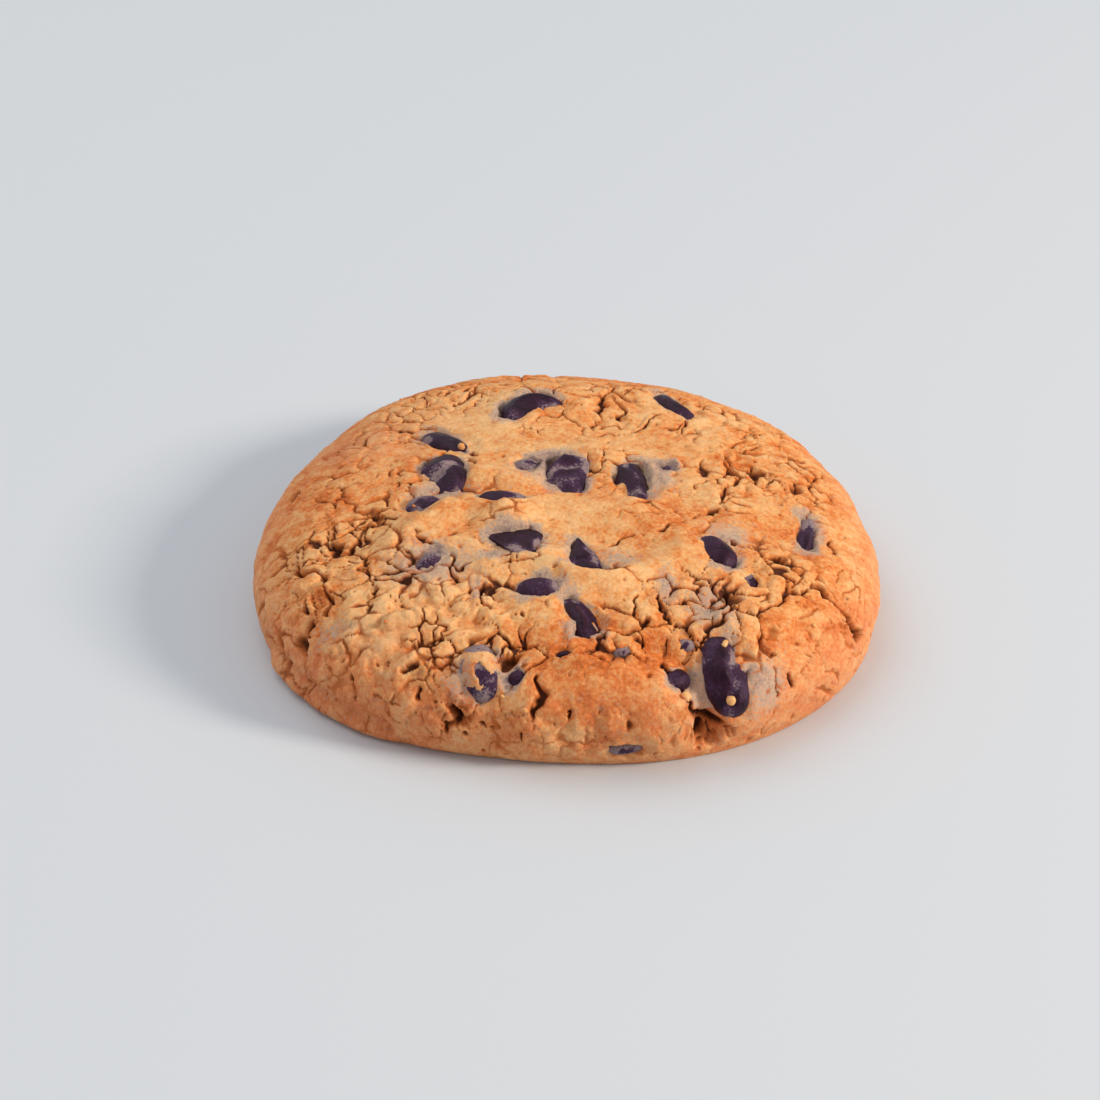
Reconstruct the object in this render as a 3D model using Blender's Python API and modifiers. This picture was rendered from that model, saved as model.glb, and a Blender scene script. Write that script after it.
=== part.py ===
"""A thick baked chocolate chip cookie: one body of dough with its chocolate drops set in it.

The crust is laid out flat as a round skin, measured in millimetres from the middle of the crown. It is
wrapped over a turned section, with folds, plates, cracks and pits pushed in or out along its normal, and
then thinned to few faces and cut flat underneath. Each drop is a solid of its own in a socket of the dough.
"""

import math
from collections import namedtuple

import bmesh
import bpy
import numpy as np
from mathutils import Matrix, Vector

MM = 0.001

# Driving dimensions of the baked form, in millimetres.
RADIUS = 42.9  # mean half width, at the widest level
CROWN_HEIGHT = 17.2
WIDEST_HEIGHT = 5.5
UNDERCUT = 2.8  # how far the base edge stands inside the widest level
BASE_EXCESS = 0.4  # dough below the tray's level, which the flat cut takes off
SHOULDER = 3.0  # superellipse powers of the crown: across, and up
CROWN_POWER = 2.2
OUTLINE_WAVES = {
    1: (0.005, 0.003),
    2: (-0.001, -0.015),
    3: (0.0, -0.026),
    4: (-0.014, 0.003),
    5: (0.001, 0.0),
    6: (0.001, -0.003),
}
BOX_SHIFT = (-0.22, -0.82)  # puts the middle of the cookie's box over the origin

# The crust's relief in millimetres: how far apart its features are, and how high they stand.
BROAD_SWELL, BROAD_HEIGHT = 17.0, 0.5
SMALL_SWELL, SMALL_HEIGHT = 7.0, 0.28
LEDGE_SIZE, LEDGE_HEIGHT = 13.0, 0.6  # thin plates of crust, each with one torn edge standing up
LEDGE_LEVELS, LEDGE_EDGE = 1.7, 0.12  # plates to a swell, and the share of a plate that its torn edge takes
KNOB_SPACING, KNOB_RADIUS, KNOB_SHARE, KNOB_RISE = 3.2, 2.3, 0.8, 0.5  # round crumbly lumps
WAVER = {4.2: 0.9, 1.7: 0.4}  # how far every edge wavers, at each spacing
TORN_SPACING = 1.9  # how far apart a crack widens and closes
LIP_EDGE = 0.4  # how steep the torn lips are
CALM_BAND, CALM_END = 4, 0.5  # the relief dies out over this much skin above the base

# A zone of the crust: its middle, its reach both ways, and how strong its relief is in the middle.
Zone = namedtuple("Zone", "middle reach share")
CRUMBLY = [
    Zone((-20, -31), (13, 10), 1.0),
    Zone((-33, -18), (7, 11), 0.6),
    Zone((9, -31), (11, 5), 0.65),
    Zone((23, -26), (9, 7), 0.35),
    Zone((-2, -46), (22, 4), 0.45),
    Zone((0, 48), (40, 9), 0.35),
]
CRAGGY = [
    Zone((26, 11), (10, 15), 1.0),
    Zone((31, -15), (8, 10), 0.5),
    Zone((-31, 8), (8, 12), 0.5),
    Zone((-13, 27), (11, 5), 0.6),
    Zone((9, 22), (11, 8), 0.55),
    Zone((-24, -16), (10, 8), 0.5),
    Zone((14, -22), (10, 6), 0.3),
]

# The laid-out skin and the thinned body.
CRUST_RING = 0.75
UNDERSIDE_RINGS = 9
SEGMENTS = 288
DOUGH_FACES = 6500
SECTION_STEPS = 240
NORMAL_STEP = 0.3

# Chocolate drops and their sockets.
SOCKET_GAP = 0.3
COLLAR_HEIGHT = 0.1  # the dough's swelling round a drop
DIMPLE_DEPTH = 0.3  # and its sinking at the drop
DROP_SEGMENTS = 10
DROP_RINGS = 6

DOUGH_COLOUR = (0.66, 0.36, 0.14, 1.0)
CHOCOLATE_COLOUR = (0.045, 0.02, 0.022, 1.0)

# A fold of the crust: the line it follows on the skin, its half width, and its height, or depth below zero.
Fold = namedtuple("Fold", "line half_width height")
FOLDS = [
    Fold([(-22, -12.5), (-18, -8), (-13, -4.8), (-8, -8)], 3.0, 1.2),
    Fold([(-7, -8.6), (-3, -6.6), (3.5, -6.4), (10, -8.4), (15.5, -12)], 3.9, 1.2),
    Fold([(-21, -2.5), (-14, -0.8), (-5, -1.2), (3, -1), (9, -2)], 2.2, -0.7),
    Fold([(-10, -18.8), (-5, -17.8), (2, -22), (6.5, -22), (11, -18.5), (16, -14.5)], 2.4, 1.0),
    Fold([(-12, 3.5), (-7, 1.5)], 2.2, 0.6),
    Fold([(3.5, 10), (6.5, 8.5)], 2.4, 0.6),
    Fold([(-3, -27.5), (-2, -32), (1, -36)], 3.0, 0.6),
    Fold([(-4, -43), (4, -41.5), (11.5, -42.5)], 5.2, 1.6),
    Fold([(11, -33.4), (15, -35), (17.4, -39), (19.8, -43.5)], 1.9, -1.5),
    Fold([(20.5, -28), (25, -27)], 2.4, 0.7),
    Fold([(24, -37.5), (22, -31)], 4.4, 0.8),
    Fold([(13, 3), (20, 1), (23, -4)], 4.0, 0.6),
    Fold([(28, -17), (34, -15)], 4.0, 0.9),
    Fold([(-4, 24), (8, 27)], 6.0, 0.7),
    Fold([(-29, 12), (-25, 22)], 5.0, 0.6),
    Fold([(-43.5, -21.5), (-38.5, -30.5), (-32.5, -37.5), (-27, -42)], 1.3, -1.2),
    Fold([(-46, -24), (-41, -33), (-35, -40), (-29, -45)], 2.0, 1.1),
]

# A torn lip of dough: its edge's line, how high its right-hand side stands, and how far that slopes away.
Lip = namedtuple("Lip", "line rise reach")
LIPS = [
    Lip([(-1, -36), (4.3, -37.6), (7.6, -37.8), (10.2, -38.6), (13.7, -38.4), (15, -39.4), (19, -44)], 0.9, 4),
    Lip([(-9.5, -18.3), (-7.2, -17.7), (-4.4, -18.3), (0.4, -20.9), (3, -21.2), (6, -20.7), (9, -18)], 0.6, 2.6),
    Lip([(-18.8, -6.2), (-16.6, -4.4), (-15, -4.6), (-12, -7)], 0.5, 2.4),
    Lip([(-9.6, -7.8), (-7.1, -5.3), (-3.1, -2.9), (0.4, -2.4), (3.5, -2.4), (8, -4.4), (12, -4)], 0.7, 3.0),
]

# An open crack: the line it follows on the skin, its width half way down and its depth.
Crack = namedtuple("Crack", "line width depth")
CRACKS = [
    Crack([(-31.1, -0.2), (-25.9, -4.7), (-25.3, -6.4), (-21.5, -12.1)], 0.7, 0.8),
    Crack([(-31, -6.1), (-29.9, -11.4)], 0.7, 1.3),
    Crack([(-35.6, -14.1), (-31.3, -17.1), (-30.8, -19.4), (-30.5, -24.1)], 0.9, 1.6),
    Crack([(-28.6, -33.5), (-28.4, -35.5), (-28.7, -37.6)], 0.9, 1.3),
    Crack([(-10.6, -23.4), (-11.1, -26), (-10.4, -28.7)], 1.0, 1.4),
    Crack([(-13.3, 31.1), (-12.9, 25.2)], 0.8, 1.0),
    Crack([(-20.5, 24.2), (-16.4, 22.8)], 0.8, 0.7),
    Crack([(22.9, 9.7), (24.2, 4.8), (22.3, 0.1), (20.4, -4.7), (16.9, -7.5)], 0.8, 1.1),
    Crack([(26.1, -15), (26.8, -16), (29.8, -17.9), (33.3, -20.1), (36, -21.2)], 0.7, 1.1),
    Crack([(36.5, -22.2), (39.2, -22.6)], 1.3, 1.7),
    Crack([(20.8, -22.4), (20.1, -25.4), (18.6, -29.8)], 0.8, 1.1),
    Crack([(24.2, -28.3), (24.9, -30.1), (26.5, -31.1)], 0.7, 0.8),
]

# An open pit: its place on the skin, its radius and its depth.
Pit = namedtuple("Pit", "place radius depth")
PITS = [
    Pit((20.2, -43.4), 2.5, 1.4),
    Pit((-38.4, 5.4), 1.5, 0.9),
    Pit((-35.2, -26.7), 1.2, 1.3),
    Pit((-15, -43.2), 1.6, 1.6),
    Pit((-20.3, -35.5), 1.0, 1.0),
    Pit((-7.2, -36.8), 1.6, 1.5),
    Pit((21, -23.4), 1.1, 1.3),
    Pit((32.3, 3.8), 1.2, 1.0),
    Pit((2.9, -17.6), 3.2, 1.2),
    Pit((8, 3.6), 2.0, 1.2),
]

# A drop of chocolate: its place on the skin, its size along, across and through the crust, its turn and its
# lean about its own length in degrees, how far it stands proud, how boxy it is (2 is an ellipsoid), how far its
# ends bend sideways as a share of its half length, and how far its tip is drawn out.
Drop = namedtuple("Drop", "place size turn lean proud boxiness bend tip", defaults=(0, 0))
DROPS = {
    "chip_far_left": Drop((-16.8, 12.9), (9.8, 4.6, 4.8), -47, 0, 1.1, 2.1, 0.05),
    "chip_round_left": Drop((-16.9, 4.7), (9.4, 7.0, 5.4), -76, 8, 1.0, 2.4),
    "chip_small_left": Drop((-19.2, -4.0), (5.6, 5.2, 4.8), 0, 10, 0.9, 2.3),
    "chip_sliver_mid": Drop((-8.2, -4.0), (7.2, 4.4, 4.6), -6, 12, 1.1, 2.3, 0.1),
    "chip_curved_back": Drop((-5.3, 21.6), (9.8, 5.2, 4.8), 38, 0, 1.0, 2.3, -0.35),
    "chip_smeared_mid": Drop((-5.3, 6.0), (4.0, 3.2, 4.2), 20, 0, 0.4, 2.2),
    "chunk_mid": Drop((0.2, 3.8), (6.0, 9.6, 5.6), -9, 8, 0.9, 3.6),
    "chunk_right": Drop((9.9, 2.2), (10.8, 5.2, 5.8), -79, 6, 0.9, 2.6, -0.08),
    "chip_dot": Drop((14.5, 5.7), (2.6, 2.4, 3.6), 0, 0, 0.3, 2.0),
    "chip_back_right": Drop((15.3, 24.4), (9.0, 3.8, 4.6), -60, -8, 0.9, 2.4, 0.12),
    "chunk_wedge": Drop((-6.7, -14.3), (8.0, 7.2, 4.8), -14, 8, 0.9, 3.0),
    "chip_tipped": Drop((2.7, -17.6), (8.0, 7.2, 11.0), 12, -58, 3.7, 2.1, 0, 0.7),
    "chip_lens": Drop((-3.7, -24.6), (6.2, 4.4, 4.6), 0, 10, 0.8, 2.3),
    "chip_crescent": Drop((2.4, -29.8), (9.2, 4.2, 4.6), -66, 0, 0.9, 2.3, -0.2),
    "chip_veiled_left": Drop((-17.4, -16.4), (4.6, 3.6, 4.2), 40, 0, 0.4, 2.2),
    "chip_mottled_right": Drop((18.8, -14.2), (7.2, 5.2, 4.8), -44, 8, 0.7, 2.4),
    "chip_on_edge": Drop((32.1, -7.0), (9.6, 2.8, 5.2), -100, 0, 0.6, 2.6, 0.05),
    "chip_in_hole": Drop((23.6, -18.4), (4.2, 4.2, 4.6), 0, 0, 0.0, 2.2),
    "chip_big": Drop((20.4, -35.3), (11.0, 5.8, 5.6), -74, 0, 1.1, 2.3, 0.05),
    "chip_in_cleft": Drop((14.4, -37.8), (4.4, 3.2, 4.6), 40, 0, 0.6, 2.3),
    "chip_above_cleft": Drop((15.4, -31.9), (2.8, 2.4, 3.6), 0, 0, 0.2, 2.2),
    "chip_coated": Drop((-11.4, -38.0), (8.2, 5.4, 5.2), -72, 0, 1.1, 2.3),
    "chip_beside_coated": Drop((-6.4, -39.8), (3.0, 2.6, 3.8), 20, 0, 0.2, 2.2),
    "chip_sunk_front": Drop((7.6, -34.8), (3.2, 2.0, 3.4), 18, 0, 0.0, 2.2),
    "chip_sunk_left": Drop((-0.2, -36.6), (2.8, 2.0, 3.4), 10, 0, 0.0, 2.2),
    "chip_at_base": Drop((9.2, -48.6), (5.6, 2.4, 3.6), 8, 0, 0.3, 2.3),
}


def grid_random(column, row, seed):
    """A repeatable number from 0 to 1 for each cell of a grid."""
    mixed = (column * 374761393 + row * 668265263 + seed * 974634777) & 0xFFFFFFFF
    mixed = ((mixed ^ (mixed >> 13)) * 1274126177) & 0xFFFFFFFF
    return ((mixed ^ (mixed >> 16)) & 0xFFFFFF) / 0x1000000


def grid_cell(u, v, size):
    """The cell of a grid that each place is in, and how far along each way the place is, in cells."""
    across, along = u / size, v / size
    return np.floor(across).astype(np.int64), np.floor(along).astype(np.int64), across, along


def swell(u, v, size, seed):
    """Smooth bumps from -1 to 1, size millimetres apart, on a grid that is turned by its own angle."""
    cosine, sine = math.cos(seed), math.sin(seed)
    column, row, across, along = grid_cell(u * cosine + v * sine, v * cosine - u * sine, size)
    across, along = across - column, along - row
    across = across * across * (3 - 2 * across)
    along = along * along * (3 - 2 * along)
    near = grid_random(column, row, seed) * (1 - across) + grid_random(column + 1, row, seed) * across
    far = grid_random(column, row + 1, seed) * (1 - across) + grid_random(column + 1, row + 1, seed) * across
    return 2 * (near * (1 - along) + far * along) - 1


def ledges(u, v, size, seed):
    """Plates like torn paper, from 0 to 1: each rises sharply at its torn edge and slopes away from it."""
    level = swell(u, v, size, seed) + 0.5 * swell(u, v, size / 2.1, seed + 1)
    level += 0.2 * swell(u, v, size / 4.7, seed + 2)
    share = LEDGE_LEVELS * level - np.floor(LEDGE_LEVELS * level)
    return smooth_step(0, LEDGE_EDGE, share) * (1 - share)


def knobs(u, v, seed):
    """How high the round crumbly lumps stand at each place."""
    column, row, across, along = grid_cell(u, v, KNOB_SPACING)
    highest = np.zeros(u.shape)
    for i in (-1, 0, 1):
        for j in (-1, 0, 1):
            seat_u = column + i + grid_random(column + i, row + j, seed) - across
            seat_v = row + j + grid_random(column + i, row + j, seed + 1) - along
            radius = KNOB_RADIUS * (0.5 + 0.5 * grid_random(column + i, row + j, seed + 2))
            there = grid_random(column + i, row + j, seed + 3) < KNOB_SHARE
            away = np.hypot(seat_u, seat_v) * KNOB_SPACING / radius
            highest = np.maximum(highest, there * radius * np.clip(1 - away**2, 0, 1))
    return KNOB_RISE * highest


def smooth_step(low, high, value):
    share = np.clip((value - low) / (high - low), 0, 1)
    return share * share * (3 - 2 * share)


def drop_reach(u, v, drop):
    """How far each place is from a drop's middle, where 1 is the drop's own edge."""
    turn = math.radians(drop.turn)
    u, v = u - drop.place[0], v - drop.place[1]
    along = 2 * (u * math.cos(turn) + v * math.sin(turn)) / drop.size[0]
    across = (v * math.cos(turn) - u * math.sin(turn)) * 2 / drop.size[1]
    across -= drop.bend * along**2 * drop.size[0] / drop.size[1]
    along /= 1 - drop.tip * np.clip(across, 0, 0.9)
    return (np.abs(along) ** drop.boxiness + np.abs(across) ** drop.boxiness) ** (1 / drop.boxiness)


def beside_line(u, v, line):
    """How far right of a line of points each place is, below zero to its left, and how far from its ends."""
    lengths = [math.dist(start, end) for start, end in zip(line[:-1], line[1:])]
    best, beside, from_ends = np.full(u.shape, 1e9), np.zeros(u.shape), np.zeros(u.shape)
    done = 0
    for (u0, v0), (u1, v1), length in zip(line[:-1], line[1:], lengths):
        along_u, along_v = u1 - u0, v1 - v0
        share = np.clip(((u - u0) * along_u + (v - v0) * along_v) / length**2, 0, 1)
        away = np.hypot(u - u0 - share * along_u, v - v0 - share * along_v)
        to_right = (u - u0) * along_v > (v - v0) * along_u
        run = done + share * length
        beside = np.where(away < best, np.where(to_right, away, -away), beside)
        from_ends = np.where(away < best, np.minimum(run, sum(lengths) - run), from_ends)
        best = np.minimum(best, away)
        done += length
    return beside, from_ends


def distance_to_line(u, v, line):
    return np.abs(beside_line(u, v, line)[0])


def lip_height(u, v, lip):
    """How high a torn lip of dough stands: sharply up on the right of its line, and sloping away again."""
    beside, from_ends = beside_line(u, v, lip.line)
    rise = lip.rise * smooth_step(0, lip.reach, from_ends)
    return rise * smooth_step(-LIP_EDGE, LIP_EDGE, beside) * np.exp(-((beside / lip.reach) ** 2))


def opened(u, v, crack):
    """How far each place has sunk into a crack, from 0 to 1: the crack widens and closes along its line."""
    width = crack.width * (0.7 + 0.7 * swell(u, v, TORN_SPACING, 17))
    return 1 - smooth_step(0.2 * width, 0.75 * width, distance_to_line(u, v, crack.line))


def sunk(u, v, pit):
    """How far each place has sunk into a ragged pit, from 0 to 1."""
    away = np.hypot(u - pit.place[0], v - pit.place[1]) * (1 + 0.35 * swell(u, v, TORN_SPACING, 18))
    return 1 - smooth_step(0.5 * pit.radius, 1.05 * pit.radius, away)


def section():
    """The turned section as three tables: distance along the skin from the crown, radius, and height."""
    rise = np.linspace(math.pi / 2, 0, SECTION_STEPS)
    radius = RADIUS * np.abs(np.cos(rise)) ** (2 / SHOULDER)
    height = WIDEST_HEIGHT + (CROWN_HEIGHT - WIDEST_HEIGHT) * np.sin(rise) ** (2 / CROWN_POWER)
    fall = np.linspace(0, math.pi / 2, SECTION_STEPS // 4)[1:]
    radius = np.append(radius, RADIUS - UNDERCUT * (1 - np.cos(fall)))
    height = np.append(height, WIDEST_HEIGHT - (WIDEST_HEIGHT + BASE_EXCESS) * np.sin(fall))
    radius, height = np.append(radius, 0), np.append(height, -BASE_EXCESS)
    radius[0] = 0
    skin = np.append(0, np.cumsum(np.hypot(np.diff(radius), np.diff(height))))
    return skin, radius, height


SKIN, SKIN_RADIUS, SKIN_HEIGHT = section()
CRUST_REACH = SKIN[-2]  # where the crust turns under, on to the tray


def outline(angle):
    """The outline's reach at each angle, as a share of the mean radius."""
    reach = np.ones_like(angle)
    for lobes, (cosine, sine) in OUTLINE_WAVES.items():
        reach = reach + cosine * np.cos(lobes * angle) + sine * np.sin(lobes * angle)
    return reach


def wrapped(u, v):
    """Where the smooth form carries each place of the skin, in millimetres."""
    along, angle = np.hypot(u, v), np.arctan2(v, u)
    radius = np.interp(along, SKIN, SKIN_RADIUS) * outline(angle)
    height = np.interp(along, SKIN, SKIN_HEIGHT)
    return np.stack([radius * np.cos(angle), radius * np.sin(angle), height], axis=-1)


def outward(u, v):
    """The smooth form's unit normal at each place of the skin."""
    step = NORMAL_STEP
    across = wrapped(u + step, v) - wrapped(u - step, v)
    along = wrapped(u, v + step) - wrapped(u, v - step)
    normal = np.cross(across, along)
    return normal / np.maximum(np.linalg.norm(normal, axis=-1, keepdims=True), 1e-9)


def around(u, v, middle, reach):
    """A soft spot on the skin: 1 in its middle, falling off over its reach."""
    return np.exp(-(((u - middle[0]) / reach[0]) ** 2) - ((v - middle[1]) / reach[1]) ** 2)


def wavering(u, v):
    """The skin's places moved about a little, so that no edge drawn on them is straight."""
    u_bent, v_bent = u, v
    for layer, (spacing, reach) in enumerate(WAVER.items()):
        u_bent = u_bent + reach * swell(u, v, spacing, 11 + layer)
        v_bent = v_bent + reach * swell(u, v, spacing, 13 + layer)
    return u_bent, v_bent


def strength(u, v, zones):
    """How strong the zones' relief is at each place, from 0 to 1."""
    return np.max([zone.share * around(u, v, zone.middle, zone.reach) for zone in zones], axis=0)


def relief(u, v):
    """How far the crust stands out from the smooth form, in millimetres."""
    u_bent, v_bent = wavering(u, v)
    height = BROAD_HEIGHT * swell(u, v, BROAD_SWELL, 1) + SMALL_HEIGHT * swell(u, v, SMALL_SWELL, 2)
    for fold in FOLDS:
        height += fold.height * np.exp(-((distance_to_line(u, v, fold.line) / fold.half_width) ** 2))
    for lip in LIPS:
        height += lip_height(u_bent, v_bent, lip)
    height += LEDGE_HEIGHT * strength(u, v, CRAGGY) * (ledges(u_bent, v_bent, LEDGE_SIZE, 21) - 0.5)
    height += strength(u, v, CRUMBLY) * knobs(u_bent, v_bent, 31)
    for drop in DROPS.values():
        reach = drop_reach(u_bent, v_bent, drop)
        height += COLLAR_HEIGHT * np.exp(-(((reach - 1.35) / 0.3) ** 2))
        height -= DIMPLE_DEPTH * (1 - smooth_step(0.8, 1.3, reach))
    for crack in CRACKS:
        height -= crack.depth * opened(u_bent, v_bent, crack)
    for pit in PITS:
        height -= pit.depth * sunk(u_bent, v_bent, pit)
    return height * (1 - smooth_step(CRUST_REACH - CALM_BAND, CRUST_REACH - CALM_END, np.hypot(u, v)))


def crust(u, v):
    """The crust itself: the smooth form with its relief, moved over the origin, in metres."""
    place = wrapped(u, v) + relief(u, v)[..., None] * outward(u, v)
    return (place + np.array([*BOX_SHIFT, 0])) * MM


def new_material(name, colour, roughness):
    material = bpy.data.materials.new(name)
    material.use_nodes = True
    shader = material.node_tree.nodes["Principled BSDF"]
    shader.inputs["Base Color"].default_value = colour
    shader.inputs["Roughness"].default_value = roughness
    shader.inputs["Metallic"].default_value = 0.0
    return material


def new_object(name, mesh, collection, material=None):
    made = bpy.data.objects.new(name, mesh)
    collection.objects.link(made)
    if material:
        mesh.materials.append(material)
    return made


def apply_modifiers(target):
    """Replaces the object's mesh with what its modifiers make of it."""
    graph = bpy.context.evaluated_depsgraph_get()
    mesh = bpy.data.meshes.new_from_object(target.evaluated_get(graph))
    target.modifiers.clear()
    target.data = mesh


def flat_skin(collection):
    """The skin laid out flat: a spoke of points turned once round."""
    crust_rings = np.arange(0, CRUST_REACH, CRUST_RING)
    underside_rings = np.linspace(CRUST_REACH, SKIN[-1], UNDERSIDE_RINGS)
    mesh = bpy.data.meshes.new("dough")
    spoke = bmesh.new()
    points = [spoke.verts.new((reach, 0, 0)) for reach in np.append(crust_rings, underside_rings)]
    for inner, outer in zip(points[:-1], points[1:]):
        spoke.edges.new((inner, outer))
    spoke.to_mesh(mesh)
    spoke.free()
    skin = new_object("dough", mesh, collection)
    turn = skin.modifiers.new("turn", "SCREW")
    turn.axis = "Z"
    turn.steps = turn.render_steps = SEGMENTS
    turn.use_merge_vertices = True
    turn.merge_threshold = 0.0001
    apply_modifiers(skin)
    return skin


def wrap_skin(skin):
    """Carries every point of the flat skin on to the crust and welds the underside's middle."""
    places = np.zeros(len(skin.data.vertices) * 3)
    skin.data.vertices.foreach_get("co", places)
    places = places.reshape(-1, 3)
    skin.data.vertices.foreach_set("co", crust(places[:, 0], places[:, 1]).ravel())
    closed = bmesh.new()
    closed.from_mesh(skin.data)
    bmesh.ops.remove_doubles(closed, verts=closed.verts, dist=1e-6)
    bmesh.ops.recalc_face_normals(closed, faces=closed.faces)
    closed.to_mesh(skin.data)
    closed.free()


def thin_out(skin):
    """Fewer faces where the crust is smooth, and as many as before at its cracks."""
    few = skin.modifiers.new("few_faces", "DECIMATE")
    few.ratio = DOUGH_FACES / (2 * len(skin.data.polygons))
    apply_modifiers(skin)


def cut_base(skin):
    """Takes the dough off flat at the tray's level."""
    body = bmesh.new()
    body.from_mesh(skin.data)
    everything = list(body.verts) + list(body.edges) + list(body.faces)
    bmesh.ops.bisect_plane(body, geom=everything, plane_co=(0, 0, 0), plane_no=(0, 0, 1), clear_inner=True)
    rim = [edge for edge in body.edges if edge.is_boundary]
    bmesh.ops.holes_fill(body, edges=rim, sides=0)
    bmesh.ops.recalc_face_normals(body, faces=body.faces)
    body.to_mesh(skin.data)
    body.free()


def drop_mesh(name, drop, spare):
    """A drop about its own middle, with a spare margin all round: a sphere made boxy and drawn to a tip."""
    ball = bmesh.new()
    bmesh.ops.create_uvsphere(ball, u_segments=DROP_SEGMENTS, v_segments=DROP_RINGS, radius=1.0)
    half = Vector([(side / 2 + spare) * MM for side in drop.size])
    for vert in ball.verts:
        unit = vert.co.normalized()
        power = sum(abs(share) ** drop.boxiness for share in unit) ** (1 / drop.boxiness)
        shaped = unit / power
        drawn = 1 - drop.tip * max(0.0, shaped.z)
        across = shaped.y * drawn * half.y + drop.bend * shaped.x**2 * half.x
        vert.co = Vector((shaped.x * drawn * half.x, across, shaped.z * half.z))
    mesh = bpy.data.meshes.new(name)
    ball.to_mesh(mesh)
    ball.free()
    mesh.shade_smooth()
    return mesh


def drop_place(drop):
    """The drop's place in the cookie: leant and turned on the crust, with its top proud of it."""
    u, v = (np.array([value], float) for value in drop.place)
    upright = Vector(outward(u, v)[0])
    along = Vector((1, 0, 0))
    along = (along - upright * along.dot(upright)).normalized()
    across = upright.cross(along)
    axes = Matrix((along, across, upright)).transposed().to_4x4()
    sink = (drop.proud - drop.size[2] / 2) * MM
    place = Matrix.Translation(Vector(crust(u, v)[0]) + upright * sink)
    turn = Matrix.Rotation(math.radians(drop.turn), 4, "Z")
    lean = Matrix.Rotation(math.radians(drop.lean), 4, "X")
    return place @ axes @ turn @ lean


def set_drops(dough, parts, cutters, chocolate):
    """Every drop as its own solid, and the socket for each cut out of the dough in one go."""
    for name, drop in DROPS.items():
        chip = new_object(name, drop_mesh(name, drop, 0.0), parts, chocolate)
        chip.matrix_world = drop_place(drop)
        socket = new_object(f"{name}_socket", drop_mesh(f"{name}_socket", drop, SOCKET_GAP), cutters)
        socket.matrix_world = drop_place(drop)
        socket.hide_render = True
        socket.display_type = "WIRE"
    sockets = dough.modifiers.new("sockets", "BOOLEAN")
    sockets.operation = "DIFFERENCE"
    sockets.operand_type = "COLLECTION"
    sockets.collection = cutters
    apply_modifiers(dough)
    for socket in list(cutters.objects):
        bpy.data.objects.remove(socket)


def keep_main_body(dough):
    """Drops the loose scraps of crust that the sockets cut free."""
    body = bmesh.new()
    body.from_mesh(dough.data)
    unseen = set(body.verts)
    bodies = []
    while unseen:
        found = [unseen.pop()]
        for vert in found:
            for edge in vert.link_edges:
                other = edge.other_vert(vert)
                if other in unseen:
                    unseen.remove(other)
                    found.append(other)
        bodies.append(found)
    main = max(bodies, key=len)
    scraps = [vert for found in bodies if found is not main for vert in found]
    bmesh.ops.delete(body, geom=scraps, context="VERTS")
    body.to_mesh(dough.data)
    body.free()


def build_cookie():
    for stale in list(bpy.data.objects):
        bpy.data.objects.remove(stale)
    parts = bpy.data.collections.new("chocolate_chip_cookie")
    cutters = bpy.data.collections.new("sockets")
    for collection in (parts, cutters):
        bpy.context.scene.collection.children.link(collection)
    baked_dough = new_material("baked_dough", DOUGH_COLOUR, 0.8)
    chocolate = new_material("dark_chocolate", CHOCOLATE_COLOUR, 0.4)
    dough = flat_skin(parts)
    wrap_skin(dough)
    thin_out(dough)
    cut_base(dough)
    set_drops(dough, parts, cutters, chocolate)
    keep_main_body(dough)
    dough.data.materials.clear()
    dough.data.materials.append(baked_dough)


build_cookie()
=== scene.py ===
"""The looks of a thick baked chocolate chip cookie: its crust, chocolate drops, crumbs and a pale floor.

The crust is one fine skin, laid out flat in millimetres from the middle of the crown and wrapped over the
baked form. It carries the solids' own relief and, on top of it, broken plates, cracks, crumbs, pores and the
openings of the drops. Each drop is a piece of its own that sits in its opening.
"""

import math
from collections import namedtuple

import bmesh
import bpy
import numpy as np
from mathutils import Matrix, Vector


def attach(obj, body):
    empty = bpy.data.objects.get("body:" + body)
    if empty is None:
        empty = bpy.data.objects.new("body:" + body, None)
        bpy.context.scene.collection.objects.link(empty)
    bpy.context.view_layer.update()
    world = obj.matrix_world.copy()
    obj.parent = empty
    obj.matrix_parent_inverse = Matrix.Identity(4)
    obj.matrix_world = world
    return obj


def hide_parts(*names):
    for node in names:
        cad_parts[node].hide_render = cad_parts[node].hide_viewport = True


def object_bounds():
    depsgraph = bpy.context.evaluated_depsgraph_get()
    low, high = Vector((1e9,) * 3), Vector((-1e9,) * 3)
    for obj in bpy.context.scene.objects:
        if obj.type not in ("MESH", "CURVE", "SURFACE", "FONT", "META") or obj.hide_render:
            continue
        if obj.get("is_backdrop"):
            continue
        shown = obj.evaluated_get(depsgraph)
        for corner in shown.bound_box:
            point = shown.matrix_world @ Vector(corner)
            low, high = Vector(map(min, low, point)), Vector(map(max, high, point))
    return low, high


bl_info = {
    "name": "Chocolate Chip Cookie",
    "version": (1, 0, 0),
    "blender": (4, 5, 0),
    "location": "3D View > Sidebar > Cookie",
    "description": "Bakes a cracked crust with chocolate drops over the packed cookie",
    "category": "Add Mesh",
}

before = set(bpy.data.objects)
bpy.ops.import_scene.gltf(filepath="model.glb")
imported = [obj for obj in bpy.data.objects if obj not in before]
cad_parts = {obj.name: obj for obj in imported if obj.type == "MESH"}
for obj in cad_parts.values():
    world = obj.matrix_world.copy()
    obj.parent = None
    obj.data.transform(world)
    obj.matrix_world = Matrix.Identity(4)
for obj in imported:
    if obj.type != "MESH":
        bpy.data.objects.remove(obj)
CAD_LOW, CAD_HIGH = (list(corner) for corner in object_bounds())
MM = 0.001


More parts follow.
